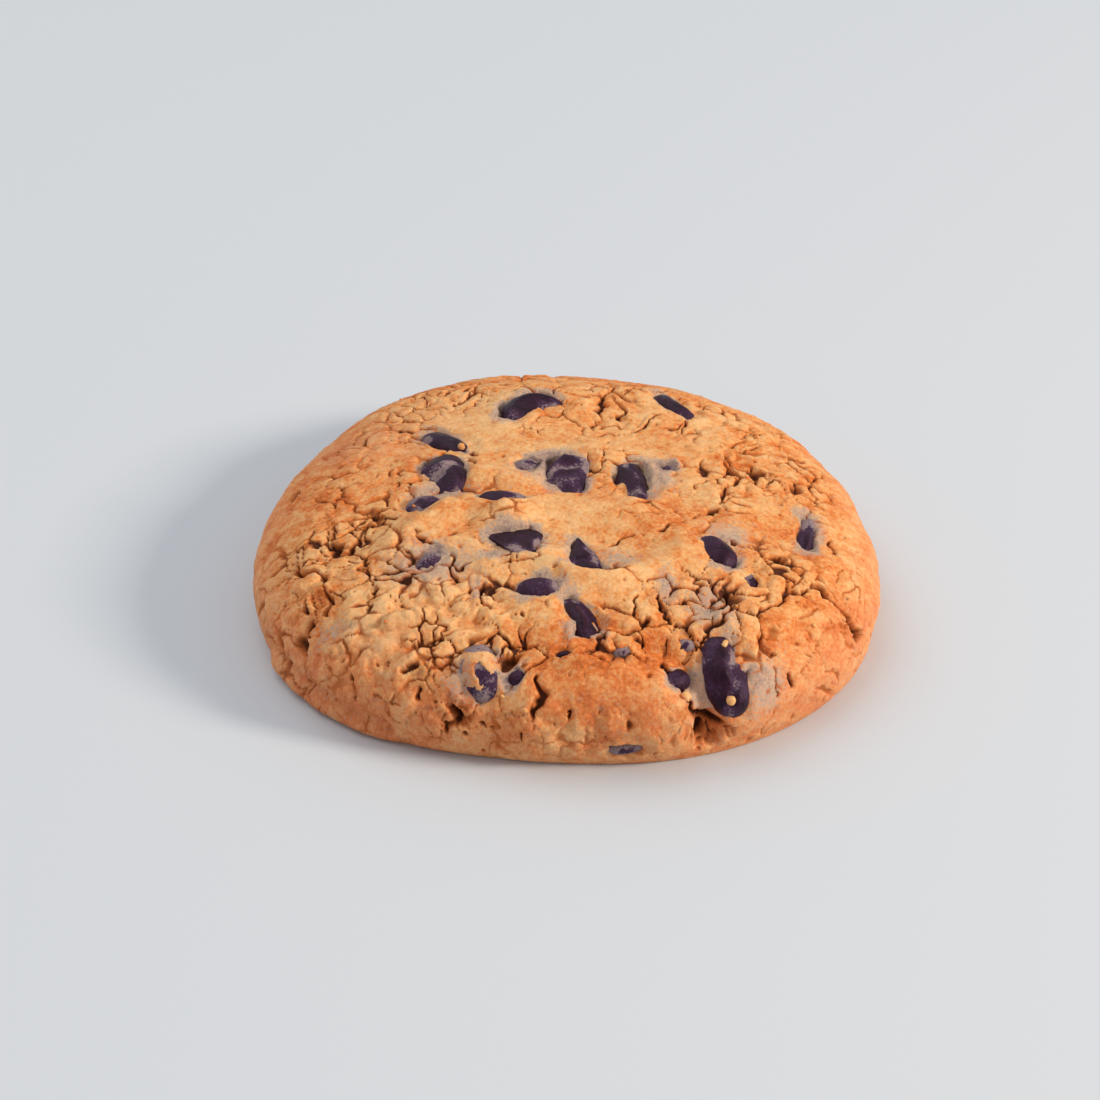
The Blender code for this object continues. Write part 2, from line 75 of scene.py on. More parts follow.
def hex_rgb(code):
    """A linear colour from a hex code in sRGB, by the standard's own curve."""
    shares = [int(code[i : i + 2], 16) / 255 for i in (1, 3, 5)]
    return [share / 12.92 if share <= 0.04045 else ((share + 0.055) / 1.055) ** 2.4 for share in shares]


# The baked form and the crust's main relief, in millimetres: the same as the solids'.

UNDERCUT = 2.8  # how far the base edge stands inside the widest level
BASE_EXCESS = 0.4  # dough below the tray's level, which the flat cut takes off
SHOULDER = 3.0  # superellipse powers of the crown: across, and up
CROWN_POWER = 2.2
OUTLINE_WAVES = {
    1: (0.005, 0.003),
    2: (-0.001, -0.015),
    3: (0.0, -0.026),
    4: (-0.014, 0.003),
    5: (0.001, 0.0),
    6: (0.001, -0.003),
}
BOX_SHIFT = (-0.22, -0.82)  # puts the middle of the cookie's box over the origin

# The crust's relief in millimetres: how far apart its features are, and how high they stand.
BROAD_SWELL, BROAD_HEIGHT = 17.0, 0.5
SMALL_SWELL, SMALL_HEIGHT = 7.0, 0.28
LEDGE_SIZE, LEDGE_HEIGHT = 13.0, 0.6  # thin plates of crust, each with one torn edge standing up
LEDGE_LEVELS, LEDGE_EDGE = 1.7, 0.12  # plates to a swell, and the share of a plate that its torn edge takes
KNOB_SPACING, KNOB_RADIUS, KNOB_SHARE, KNOB_RISE = 3.2, 2.3, 0.8, 0.5  # round crumbly lumps
WAVER = {4.2: 0.9, 1.7: 0.4}  # how far every edge wavers, at each spacing
TORN_SPACING = 1.9  # how far apart a crack widens and closes
BROAD_SEED, SMALL_SEED, WAVER_SEED, CRACK_SEED, PIT_SEED, LEDGE_SEED = 1, 2, 11, 17, 18, 21
LIP_EDGE = 0.4  # how steep the torn lips are
CALM_BAND, CALM_END = 4, 0.5  # the relief dies out over this much skin above the base

# A zone of the crust: its middle, its reach both ways, and how strong its relief is in the middle.
Zone = namedtuple("Zone", "middle reach share")
CRUMBLY = [
    Zone((-20, -31), (13, 10), 1.0),
    Zone((-33, -18), (7, 11), 0.6),
    Zone((9, -31), (11, 5), 0.65),
    Zone((23, -26), (9, 7), 0.35),
    Zone((-2, -46), (22, 4), 0.45),
    Zone((0, 48), (40, 9), 0.35),
]
CRAGGY = [
    Zone((26, 11), (10, 15), 1.0),
    Zone((31, -15), (8, 10), 0.5),
    Zone((-31, 8), (8, 12), 0.5),
    Zone((-13, 27), (11, 5), 0.6),
    Zone((9, 22), (11, 8), 0.55),
    Zone((-24, -16), (10, 8), 0.5),
    Zone((14, -22), (10, 6), 0.3),
]
SECTION_STEPS = 240
NORMAL_STEP = 0.3
COLLAR_HEIGHT, COLLAR_AT, COLLAR_WIDTH = 0.1, 1.35, 0.3  # the rim round a drop, in the drop's own reaches
DIMPLE_DEPTH, DIMPLE_FULL, DIMPLE_END = 0.3, 0.8, 1.3  # the dip that a drop lies in
CRACK_FLOOR, CRACK_RIM = 0.2, 0.75  # shares of a crack's width where it is deepest, and where it begins
PIT_FLOOR, PIT_RIM = 0.5, 1.05  # and shares of a pit's radius

# A fold of the crust: the line it follows on the skin, its half width, and its height, or depth below zero.
Fold = namedtuple("Fold", "line half_width height")
FOLDS = [
    Fold([(-22, -12.5), (-18, -8), (-13, -4.8), (-8, -8)], 3.0, 1.2),
    Fold([(-7, -8.6), (-3, -6.6), (3.5, -6.4), (10, -8.4), (15.5, -12)], 3.9, 1.2),
    Fold([(-21, -2.5), (-14, -0.8), (-5, -1.2), (3, -1), (9, -2)], 2.2, -0.7),
    Fold([(-10, -18.8), (-5, -17.8), (2, -22), (6.5, -22), (11, -18.5), (16, -14.5)], 2.4, 1.0),
    Fold([(-12, 3.5), (-7, 1.5)], 2.2, 0.6),
    Fold([(3.5, 10), (6.5, 8.5)], 2.4, 0.6),
    Fold([(-3, -27.5), (-2, -32), (1, -36)], 3.0, 0.6),
    Fold([(-4, -43), (4, -41.5), (11.5, -42.5)], 5.2, 1.6),
    Fold([(11, -33.4), (15, -35), (17.4, -39), (19.8, -43.5)], 1.9, -1.5),
    Fold([(20.5, -28), (25, -27)], 2.4, 0.7),
    Fold([(24, -37.5), (22, -31)], 4.4, 0.8),
    Fold([(13, 3), (20, 1), (23, -4)], 4.0, 0.6),
    Fold([(28, -17), (34, -15)], 4.0, 0.9),
    Fold([(-4, 24), (8, 27)], 6.0, 0.7),
    Fold([(-29, 12), (-25, 22)], 5.0, 0.6),
    Fold([(-43.5, -21.5), (-38.5, -30.5), (-32.5, -37.5), (-27, -42)], 1.3, -1.2),
    Fold([(-46, -24), (-41, -33), (-35, -40), (-29, -45)], 2.0, 1.1),
]

# A torn lip of dough: its edge's line, how high its right-hand side stands, and how far that slopes away.
Lip = namedtuple("Lip", "line rise reach")
LIPS = [
    Lip(
        [(-1, -36), (4.3, -37.6), (7.6, -37.8), (10.2, -38.6), (13.7, -38.4), (15, -39.4), (19, -44)],
        0.9,
        4,
    ),
    Lip(
        [(-9.5, -18.3), (-7.2, -17.7), (-4.4, -18.3), (0.4, -20.9), (3, -21.2), (6, -20.7), (9, -18)],
        0.6,
        2.6,
    ),
    Lip([(-18.8, -6.2), (-16.6, -4.4), (-15, -4.6), (-12, -7)], 0.5, 2.4),
    Lip([(-9.6, -7.8), (-7.1, -5.3), (-3.1, -2.9), (0.4, -2.4), (3.5, -2.4), (8, -4.4), (12, -4)], 0.7, 3.0),
]

# An open crack: the line it follows on the skin, its width half way down and its depth.
Crack = namedtuple("Crack", "line width depth")
CRACKS = [
    Crack([(-31.1, -0.2), (-25.9, -4.7), (-25.3, -6.4), (-21.5, -12.1)], 0.7, 0.8),
    Crack([(-31, -6.1), (-29.9, -11.4)], 0.7, 1.3),
    Crack([(-35.6, -14.1), (-31.3, -17.1), (-30.8, -19.4), (-30.5, -24.1)], 0.9, 1.6),
    Crack([(-28.6, -33.5), (-28.4, -35.5), (-28.7, -37.6)], 0.9, 1.3),
    Crack([(-10.6, -23.4), (-11.1, -26), (-10.4, -28.7)], 1.0, 1.4),
    Crack([(-13.3, 31.1), (-12.9, 25.2)], 0.8, 1.0),
    Crack([(-20.5, 24.2), (-16.4, 22.8)], 0.8, 0.7),
    Crack([(22.9, 9.7), (24.2, 4.8), (22.3, 0.1), (20.4, -4.7), (16.9, -7.5)], 0.8, 1.1),
    Crack([(26.1, -15), (26.8, -16), (29.8, -17.9), (33.3, -20.1), (36, -21.2)], 0.7, 1.1),
    Crack([(36.5, -22.2), (39.2, -22.6)], 1.3, 1.7),
    Crack([(20.8, -22.4), (20.1, -25.4), (18.6, -29.8)], 0.8, 1.1),
    Crack([(24.2, -28.3), (24.9, -30.1), (26.5, -31.1)], 0.7, 0.8),
]

# An open pit: its place on the skin, its radius and its depth.
Pit = namedtuple("Pit", "place radius depth")
PITS = [
    Pit((20.2, -43.4), 2.5, 1.4),
    Pit((-38.4, 5.4), 1.5, 0.9),
    Pit((-35.2, -26.7), 1.2, 1.3),
    Pit((-15, -43.2), 1.6, 1.6),
    Pit((-20.3, -35.5), 1.0, 1.0),
    Pit((-7.2, -36.8), 1.6, 1.5),
    Pit((21, -23.4), 1.1, 1.3),
    Pit((32.3, 3.8), 1.2, 1.0),
    Pit((2.9, -17.6), 3.2, 1.2),
    Pit((8, 3.6), 2.0, 1.2),
]

# A drop of chocolate: its place on the skin, its size along, across and through the crust, its turn and its
# lean about its own length in degrees, how far it stands proud, how boxy it is (2 is an ellipsoid), how far
# its ends bend sideways as a share of its half length, and how far its tip is drawn out.
Drop = namedtuple("Drop", "place size turn lean proud boxiness bend tip", defaults=(0, 0))
DROPS = {
    "chip_far_left": Drop((-16.8, 12.9), (9.8, 4.6, 4.8), -47, 0, 1.1, 2.1, 0.05),
    "chip_round_left": Drop((-16.9, 4.7), (9.4, 7.0, 5.4), -76, 8, 1.0, 2.4),
    "chip_small_left": Drop((-19.2, -4.0), (5.6, 5.2, 4.8), 0, 10, 0.9, 2.3),
    "chip_sliver_mid": Drop((-8.2, -4.0), (7.2, 4.4, 4.6), -6, 12, 1.1, 2.3, 0.1),
    "chip_curved_back": Drop((-5.3, 21.6), (9.8, 5.2, 4.8), 38, 0, 1.0, 2.3, -0.35),
    "chip_smeared_mid": Drop((-5.3, 6.0), (4.0, 3.2, 4.2), 20, 0, 0.4, 2.2),
    "chunk_mid": Drop((0.2, 3.8), (6.0, 9.6, 5.6), -9, 8, 0.9, 3.6),
    "chunk_right": Drop((9.9, 2.2), (10.8, 5.2, 5.8), -79, 6, 0.9, 2.6, -0.08),
    "chip_dot": Drop((14.5, 5.7), (2.6, 2.4, 3.6), 0, 0, 0.3, 2.0),
    "chip_back_right": Drop((15.3, 24.4), (9.0, 3.8, 4.6), -60, -8, 0.9, 2.4, 0.12),
    "chunk_wedge": Drop((-6.7, -14.3), (8.0, 7.2, 4.8), -14, 8, 0.9, 3.0),
    "chip_tipped": Drop((2.7, -17.6), (8.0, 7.2, 11.0), 12, -58, 3.7, 2.1, 0, 0.7),
    "chip_lens": Drop((-3.7, -24.6), (6.2, 4.4, 4.6), 0, 10, 0.8, 2.3),
    "chip_crescent": Drop((2.4, -29.8), (9.2, 4.2, 4.6), -66, 0, 0.9, 2.3, -0.2),
    "chip_veiled_left": Drop((-17.4, -16.4), (4.6, 3.6, 4.2), 40, 0, 0.4, 2.2),
    "chip_mottled_right": Drop((18.8, -14.2), (7.2, 5.2, 4.8), -44, 8, 0.7, 2.4),
    "chip_on_edge": Drop((32.1, -7.0), (9.6, 2.8, 5.2), -100, 0, 0.6, 2.6, 0.05),
    "chip_in_hole": Drop((23.6, -18.4), (4.2, 4.2, 4.6), 0, 0, 0.0, 2.2),
    "chip_big": Drop((20.4, -35.3), (11.0, 5.8, 5.6), -74, 0, 1.1, 2.3, 0.05),
    "chip_in_cleft": Drop((14.4, -37.8), (4.4, 3.2, 4.6), 40, 0, 0.6, 2.3),
    "chip_above_cleft": Drop((15.4, -31.9), (2.8, 2.4, 3.6), 0, 0, 0.2, 2.2),
    "chip_coated": Drop((-11.4, -38.0), (8.2, 5.4, 5.2), -72, 0, 1.1, 2.3),
    "chip_beside_coated": Drop((-6.4, -39.8), (3.0, 2.6, 3.8), 20, 0, 0.2, 2.2),
    "chip_sunk_front": Drop((7.6, -34.8), (3.2, 2.0, 3.4), 18, 0, 0.0, 2.2),
    "chip_sunk_left": Drop((-0.2, -36.6), (2.8, 2.0, 3.4), 10, 0, 0.0, 2.2),
    "chip_at_base": Drop((9.2, -48.6), (5.6, 2.4, 3.6), 8, 0, 0.3, 2.3),
}

# What the scene adds to that form.

# Small cracks, each narrower than the solids can show.
FINE_CRACKS = [
    Crack([(-26.2, -14.4), (-25.3, -19.8)], 0.55, 0.9),
    Crack([(-33.4, -20.5), (-33.8, -23)], 0.6, 1.0),
    Crack([(-32.8, -24.5), (-33.4, -26.4)], 0.6, 1.0),
    Crack([(-19.6, -10.6), (-16.6, -13.7)], 0.4, 0.6),
    Crack([(-15, -16.7), (-14.7, -21.2)], 0.5, 0.7),
    Crack([(-20, -39.1), (-20.3, -40.7)], 0.7, 1.0),
    Crack([(-16.9, -44.6), (-16.6, -45.6)], 0.7, 0.9),
    Crack([(-12, -44.8), (-11.6, -45.8)], 0.7, 0.8),
    Crack([(-5.9, -46.2), (-5.6, -47.2)], 0.6, 0.7),
    Crack([(-3.2, -40.3), (-2.7, -42.2), (-3.7, -44)], 0.7, 1.0),
    Crack([(0, -43.6), (0.4, -45.2)], 0.8, 1.2),
    Crack([(-9.8, 29), (-8.6, 29)], 0.8, 0.5),
    Crack([(-24.3, 21.1), (-21.1, 19.8)], 0.7, 0.7),
    Crack([(-23.9, 5.6), (-23.7, 4.4)], 0.45, 0.7),
    Crack([(-22.4, 2.6), (-23, 0.8)], 0.4, 0.6),
    Crack([(-21.7, -0.1), (-20.6, -1.6)], 0.5, 0.7),
    Crack([(8.4, 30), (9.2, 28.4)], 0.9, 0.7),
    Crack([(7.2, 25.3), (7.8, 22), (7.3, 19.2)], 0.45, 0.7),
    Crack([(7.8, 25), (10.8, 27.5)], 0.6, 0.8),
    Crack([(4.4, 14), (9.1, 15.3), (13.6, 19.6)], 0.45, 0.7),
    Crack([(16.5, 15.3), (17.4, 19.7)], 0.4, 0.7),
    Crack([(26.6, 7.4), (26.7, 3.7)], 0.6, 0.9),
    Crack([(24.4, 13.1), (26.2, 17.8), (28, 15.1), (26.4, 12.6)], 0.4, 0.6),
    Crack([(21.2, 23.3), (22.4, 23.3)], 0.8, 0.8),
    Crack([(21.9, -12.2), (22.2, -13)], 0.6, 0.8),
    Crack([(23.6, -13.4), (24.6, -13.6)], 0.6, 0.9),
    Crack([(26.2, -14.4), (26.4, -15.2)], 0.6, 0.9),
    Crack([(34.7, -10.7), (36.4, -8.1)], 0.4, 0.8),
    Crack([(12.9, -25.2), (13.2, -26.2)], 0.7, 1.0),
    Crack([(17.4, -26), (18.4, -26.2)], 0.8, 1.1),
    Crack([(10.4, -28.2), (10.2, -29.7)], 0.6, 0.9),
    Crack([(12.9, -30), (13.2, -31)], 0.4, 0.6),
    Crack([(28.1, -31.9), (29, -33.5)], 0.45, 0.7),
    Crack([(30.7, -35.2), (31.9, -36.4)], 0.4, 0.5),
    Crack([(25.8, -32.8), (26.9, -35.9)], 0.45, 0.7),
    Crack([(9.8, -5.8), (10.9, -4.6), (11.7, -6.2)], 0.4, 0.6),
    Crack([(12.7, -11.7), (13.6, -9.7), (15.4, -9.2)], 0.55, 0.8),
    Crack([(5.9, -14.2), (8.3, -11.6)], 0.35, 0.5),
    Crack([(17, -19.4), (17.7, -16.2), (18.6, -14.5)], 0.3, 0.5),
    Crack([(-14, 6.8), (-12.6, 5.4)], 0.7, 0.9),
    Crack([(12.6, -35.4), (13.4, -37), (16, -39.6), (16.9, -40.9), (17.6, -42.2)], 1.1, 0.9),
    Crack([(17.8, -41.4), (18.4, -41.8)], 0.8, 1.2),
    Crack([(18.6, -43), (20.4, -42.6), (21.6, -42.6)], 1.3, 1.1),
    Crack([(19, -44.6), (19.8, -44.4)], 1.0, 1.4),
    Crack([(19.2, -45.8), (19.6, -45.6)], 0.8, 1.2),
    Crack([(21, -44.2), (21.8, -44.9)], 0.6, 0.8),
    Crack([(-35.2, -26), (-34.7, -27.4), (-35.6, -28)], 1.0, 1.2),
    Crack([(-15.6, -42.6), (-14.7, -44), (-15.9, -45.2)], 1.2, 1.4),
    Crack([(36, -22.4), (37.4, -22.8), (38.4, -23.2)], 1.2, 1.3),
    Crack([(33.4, -19.8), (34.9, -20.6), (36.2, -21.8)], 1.1, 0.8),
    Crack([(-14.2, 9.2), (-13, 7.6)], 0.8, 0.8),
]

# Dough lying over part of a drop: the drop, the line that the dough follows on the skin, and its half width.
Veil = namedtuple("Veil", "drop line half_width")
VEILS = [
    Veil("chip_coated", [(-11.7, -36.2), (-11.2, -40)], 2.6),
]
VEIL_THICKNESS = 0.22
VEIL_EDGE, VEIL_END = (0.75, 1.25), (0.95, 1.2)  # where a veil thins out: beside its line, and past its drop

# The outlines of what shows of a drop, where the dough leaves more or less of it bare than its own ellipse.
SHOWN = {
    "chip_far_left": [
        [(-19.8, 14.8), (-19, 16.2), (-17.4, 15.8), (-14.6, 12), (-13.7, 9.4), (-15.2, 10.6), (-17.5, 11.6)]
    ],
    "chip_round_left": [
        [
            (-19.9, 6.3), (-19.4, 7.8), (-18, 8.8), (-16.4, 8.7),
            (-14.6, 7.4), (-14.3, 6.1), (-16.3, 5.3), (-19.2, 4.9),
        ],
        [(-17.8, 2.4), (-17, 3.5), (-15.5, 4.9), (-13.8, 4.3), (-14, 2.6), (-15.6, 0.5), (-17.3, 1.3)],
    ],
    "chip_small_left": [[(-20.6, -4.4), (-19.8, -3.2), (-17.7, -4.4), (-19, -5.9)]],
    "chip_sliver_mid": [[(-10.9, -3.3), (-9.8, -2.8), (-5.6, -3.8), (-6.3, -4.9), (-8.6, -5)]],
    "chip_smeared_mid": [[(-6.2, 5.6), (-5.1, 6.9), (-3, 6.6), (-3.4, 5.4), (-5, 5)]],
    "chunk_mid": [[(-2.3, 7.7), (-1.2, 8.6), (0.6, 8.3), (3, 6.6), (2.4, 1.2), (1.5, -1.2), (-2.4, 2.4)]],
    "chunk_right": [
        [
            (7.9, 4.8), (9.6, 7.1), (11.4, 6), (11.9, 3.6), (11.5, 0.2),
            (10.7, -2.8), (10, -1.2), (9.2, 1.6), (8, 3.6),
        ]
    ],
    "chunk_wedge": [
        [
            (-9.8, -12.4), (-8.2, -11.4), (-4.6, -11.2), (-3.9, -13),
            (-4.4, -17.5), (-6.3, -15.7), (-6.9, -14), (-8.4, -13.3),
        ],
    ],
    "chip_tipped": [
        [(1.5, -13), (2.2, -15), (3.6, -16.7), (5, -18.4), (5.4, -20.4), (0.2, -20.4), (0.9, -18), (0.8, -15)]
    ],
    "chip_lens": [[(-6.1, -24.7), (-3.6, -23), (-1.2, -23.8), (-1.6, -25), (-2.9, -26), (-4.6, -26.2)]],
    "chip_crescent": [
        [
            (-0.4, -26.2), (0.8, -25.9), (2.2, -27.6), (3.9, -30.6),
            (4.3, -32.4), (1.3, -33.5), (1.5, -30), (0.6, -27.7),
        ]
    ],
    "chip_veiled_left": [[(-18.8, -17.2), (-18, -15.6), (-16.4, -15), (-16.8, -16.3)]],
    "chip_mottled_right": [
        [(16.7, -12.9), (18.6, -12.1), (19.6, -14), (20.2, -15.8), (18.7, -16.1)],
        [(20.6, -15.9), (21.4, -16.3), (21, -17.1)],
    ],
    "chip_big": [
        [
            (18.1, -35.2), (18.5, -32.4), (19.6, -31), (20.8, -31),
            (21, -33.6), (22.1, -36.9), (21.4, -39.6), (19.4, -38.4),
        ],
        [(22, -34.6), (23.2, -34.2), (22.8, -35.4)],
    ],
    "chip_coated": [
        [(-13, -35.1), (-11, -34.5), (-9.3, -35.8), (-9.2, -36.4), (-11.6, -35.6)],
        [(-11.9, -38), (-11, -37.9), (-10.5, -39.2), (-11.1, -40)],
        [(-12.4, -41.6), (-11.2, -40.9), (-10.3, -40.3), (-10.7, -41.6), (-11.8, -42)],
    ],
    "chip_beside_coated": [[(-7.8, -39.8), (-6.2, -38.7), (-5.6, -39.2), (-6.6, -40.6)]],
    "chip_curved_back": [
        [
            (-9.1, 18.2), (-8.9, 20.2), (-7.6, 22.4), (-5, 24.6), (-2.3, 25.2),
            (-1.6, 23.8), (-3, 22.8), (-5.5, 22), (-7, 20.2), (-8, 17.6),
        ]
    ],
    "chip_back_right": [
        [(12.6, 27), (13.6, 28), (15.5, 26.4), (17.1, 22.8), (17.6, 20.4), (16.2, 22.4), (14, 24.8)]
    ],
    "chip_on_edge": [[(32.3, -3.2), (33, -2.8), (32.9, -6.4), (32.2, -11), (31, -11.4), (31.5, -8.4)]],
    "chip_dot": [[(13.9, 6.4), (14.9, 6.6), (15.1, 5.2), (14.2, 4.6)]],
    "chip_in_hole": [[(22.7, -18.9), (23.7, -18.1), (24.6, -19.2), (24.3, -20.3), (23.2, -20.4)]],
    "chip_in_cleft": [[(13.5, -37.1), (14.8, -36.3), (15.7, -36.6), (15.4, -38), (14.4, -38.4)]],
    "chip_above_cleft": [[(14.6, -32.4), (15.4, -31.4), (16.1, -32.1), (15.3, -32.9)]],
    "chip_sunk_front": [[(6.8, -35.2), (8.2, -34.3), (8.6, -34.8), (7.6, -35.6)]],
    "chip_sunk_left": [[(-0.9, -36.6), (0.2, -36.1), (0.6, -36.8), (-0.4, -37.1)]],
}

# A groove across a drop, where dust lies: the line that it follows on the skin.
GROOVES = {
    "chip_round_left": [(-17.9, 2.7), (-16.8, 3.2), (-15.9, 5), (-13.8, 5.4)],
    "chunk_mid": [(-2.6, 3.4), (-0.7, 5), (1.4, 5.7)],
    "chunk_right": [(8.6, 5.2), (9.8, 3.4), (10.6, -1.4)],
    "chip_tipped": [(0.7, -18.6), (2, -17.5), (3.6, -17.6), (5, -19)],
    "chip_big": [(22.2, -32.4), (20.6, -34.6), (21.4, -37.2), (20.6, -39.4)],
    "chip_crescent": [(1.2, -26.8), (3, -29.8), (3, -32.6)],
}

# A drop's flat faces: which way each looks along, across and through it, and its distance out, as a share.
FACETS = {
    "chip_round_left": [(0.5, -0.4, 0.75, 0.8)],
    "chunk_mid": [(-0.75, 0.6, 0.2, 0.95), (0.2, 0.1, 1.0, 0.78), (-0.3, -0.5, 0.8, 0.86)],
    "chunk_right": [(0.1, 0.75, 0.6, 0.72), (-0.6, -0.7, 0.2, 0.95), (0.2, -0.5, 0.8, 0.78)],
    "chunk_wedge": [(-0.55, -0.83, 0.0, 0.42), (0.0, 0.35, 0.9, 0.72), (0.95, 0.0, 0.3, 0.82)],
    "chip_crescent": [(0.2, 0.6, 0.75, 0.74)],
    "chip_curved_back": [(0.0, -0.5, 0.85, 0.76)],
    "chip_big": [(-0.3, 0.6, 0.7, 0.84), (0.5, -0.45, 0.7, 0.86)],
    "chip_back_right": [(0.0, 0.6, 0.8, 0.75)],
}
FACET_KEPT = 0.12  # how much of what stands out past a flat face is left

# How much dough and bloom is rubbed on a drop, from 0 to 1.
RUBBED = {
    "chip_smeared_mid": 0.75,
    # chunk_mid's share is partly painted reflection: its paler bloom stands in for the shine on its top
    # faces.
    "chunk_mid": 0.6,
    "chip_dot": 0.7,
    "chunk_wedge": 0.35,
    "chip_lens": 0.5,
    "chip_veiled_left": 0.9,
    "chip_mottled_right": 0.55,
    "chip_on_edge": 0.3,
    "chip_coated": 0.55,
    "chip_beside_coated": 0.7,
    "chip_sliver_mid": 0.35,
    "chip_above_cleft": 0.4,
    "chip_at_base": 0.85,
    "chip_in_cleft": 0.55,
    "chip_in_hole": 0.0,
    "chip_far_left": 0.05,
    "chip_round_left": 0.1,
    "chip_tipped": 0.0,
}
RUBBED_ELSEWHERE = 0.18
RUBBED_LEAST, RUBBED_SPREAD, RUBBED_SPACING = -0.25, 0.4, 1.8  # what that adds to, and how unevenly it lies
CLEAN_BESIDE = ("chip_at_base", "chip_sunk_front", "chip_sunk_left", "chip_in_hole", "chip_above_cleft")

# A smear of chocolate on the dough: its middle, its reach and its strength.
SMEARS = [
    Zone((13, -22), (1.2, 3.4), 0.75),
    Zone((-9.2, -16.8), (2.8, 2.2), 0.9),
    Zone((-17.2, -0.4), (4.2, 2.2), 0.9),
    Zone((-3.2, 4.8), (3.6, 2.6), 0.9),
    Zone((-17.6, -17.6), (5.6, 4.2), 0.75),
    Zone((-11.4, -23.6), (1.6, 3), 0.5),
    Zone((-30, -27), (3.4, 2), 0.35),
    Zone((6.6, -17.4), (2.8, 2.6), 0.6),
    Zone((13.4, 2.6), (2.2, 3.4), 0.7),
    Zone((18.4, -25.6), (3, 4.4), 0.75),
    Zone((17.6, -38), (2.4, 4), 0.65),
    Zone((25.4, -35.6), (3, 3.6), 0.75),
    Zone((-13.8, -38.6), (2.2, 3.4), 0.5),
    Zone((20.6, -11.4), (3, 3), 0.7),
]

DISC_CELLS = 480  # faces along each side of the square that becomes the skin
BASE_RINGS = (0.96, 0.7, 0.35)  # the rings of faces that close it below, as shares of the base's width
CRUST_TRIANGLES = 196000
OPENING, OPENING_EDGE = 0.88, 0.12  # an opening's size as a share of its drop's, and how soft its edge is
OPENING_WAVER = {1.9: 0.34, 0.8: 0.2, 0.5: 0.12}
POWDER, POWDER_REACH = 1.05, 1.0  # how thickly dust lies on a drop inside its opening's edge, and how far in
POWDER_SPACING = 3.4
GROOVE_DEPTH, GROOVE_WIDTH, GROOVE_DUST = 0.4, 0.9, 0.6
OPENING_DEPTH = 0.7  # how far the opening's bottom lies under the drop's skin
SHOULDER_SINK, SHOULDER_WIDTH = 0.25, 0.9  # how the dough rounds down to an opening
TORN_WAVER = {1.3: 0.5, 0.6: 0.22}  # how far the edges of cracks and pits waver
TORN_SEED, OPENING_SEED, UNEVEN_SEED, STAIN_SEED = 21, 101, 104, 105
UNEVEN_SPACING = 2.1  # how far apart the dough rounds down more and less
STAIN_REACH, STAIN_SPACING = 2.9, 2.6  # how far chocolate stains the dough, and how far apart that varies
STAIN_LEAST, STAIN_RUBBED, SMEAR_MOST = 0.55, 0.6, 0.9  # how strongly
VEIL_CLEAN = 0.8  # how much cleaner the dough over a drop is than the dough beside it
CREVICE_DEPTH, CREVICE_SHADE = 0.2, 0.12  # the crevices between the lumps, and how much painted shade lies in them
CREVICE_SEED, CREVICE_SPACING = 47, 3.0
RAGGED_PITS = 8  # how many of the pits are open holes with painted shade, and not soft dips
CAVITY_SHADE, PIT_SHADE = 0.35, 0.85  # how much painted shade lies in the first pit, which is wide, and in the others
PORE_SHADE = 1.6  # how much painted shade lies in a pore for each millimetre of its depth
# Where a hole's wall is a honeycomb of pores.
HONEYCOMB = [
    Zone((20.4, -43.2), (3.4, 2.4), 1.0),
    Zone((-15, -43.4), (2.2, 2), 0.7),
    Zone((37.6, -22.4), (2.2, 1.8), 0.8),
]

# Layers of broken plates: size, how unlike their heights are, their cracks' width and depth, and seed.
Plates = namedtuple("Plates", "size height width depth seed")
PLATES = [Plates(6.2, 0.34, 0.36, 0.7, 40), Plates(3.2, 0.16, 0.25, 0.45, 46)]
SIDES_START, SIDES_FULL, SIDES_CALM = 34, 43, 0.45  # where the sides begin, and how much smoother they are
PLATE_EDGE = 0.3  # how far a plate's height takes to change at its edge
PLATE_ROUND = 0.14  # and how much the plate rounds down to it
PLATED_CRAGGY, PLATED_CRUMBLY = 0.6, 0.75  # how much more the plates part where the crust is rough
PLATED_STARTS, PLATED_FULL = 0.05, 0.7  # the swell at which the plates start to part, and are fully parted
CALM = [Zone((4, -43), (13, 4.5), 1.0), Zone((2, -8), (14, 4.5), 0.8), Zone((-13, -6), (5, 3), 0.8)]
CALMED = 0.85  # how much of the plates a calm zone smooths away
# Layers of round crumbs: spacing, radius, share of places that have one, rise, seed and how round each is.
Knobs = namedtuple("Knobs", "spacing radius share rise seed roundness")
MAIN_KNOBS = Knobs(KNOB_SPACING, KNOB_RADIUS, KNOB_SHARE, KNOB_RISE, 31, 1)
FINE_KNOBS = [Knobs(2.3, 1.3, 0.7, 0.24, 51, 0.6), Knobs(1.2, 0.65, 0.5, 0.3, 57, 0.6)]
# Layers of pores: spacing, largest radius, share of places that have one, and seed.
Pores = namedtuple("Pores", "spacing radius share seed")
PORES = [Pores(4.4, 0.55, 0.36, 71), Pores(2.1, 0.34, 0.4, 77)]
COMB_PORES = Pores(1.35, 0.75, 0.8, 83)
GRAINS, GRAIN_SEED = {1.7: 0.09, 1.0: 0.08, 0.55: 0.05}, 91  # small unevenness, at each spacing
WRINKLE_STARTS, WRINKLE_FULL = 38, 46  # the fine slanting wrinkles of the sides
WRINKLE_LENGTH, WRINKLE_WIDTH, WRINKLE_HEIGHT, WRINKLE_SLANT = 6.0, 0.75, 0.07, 35

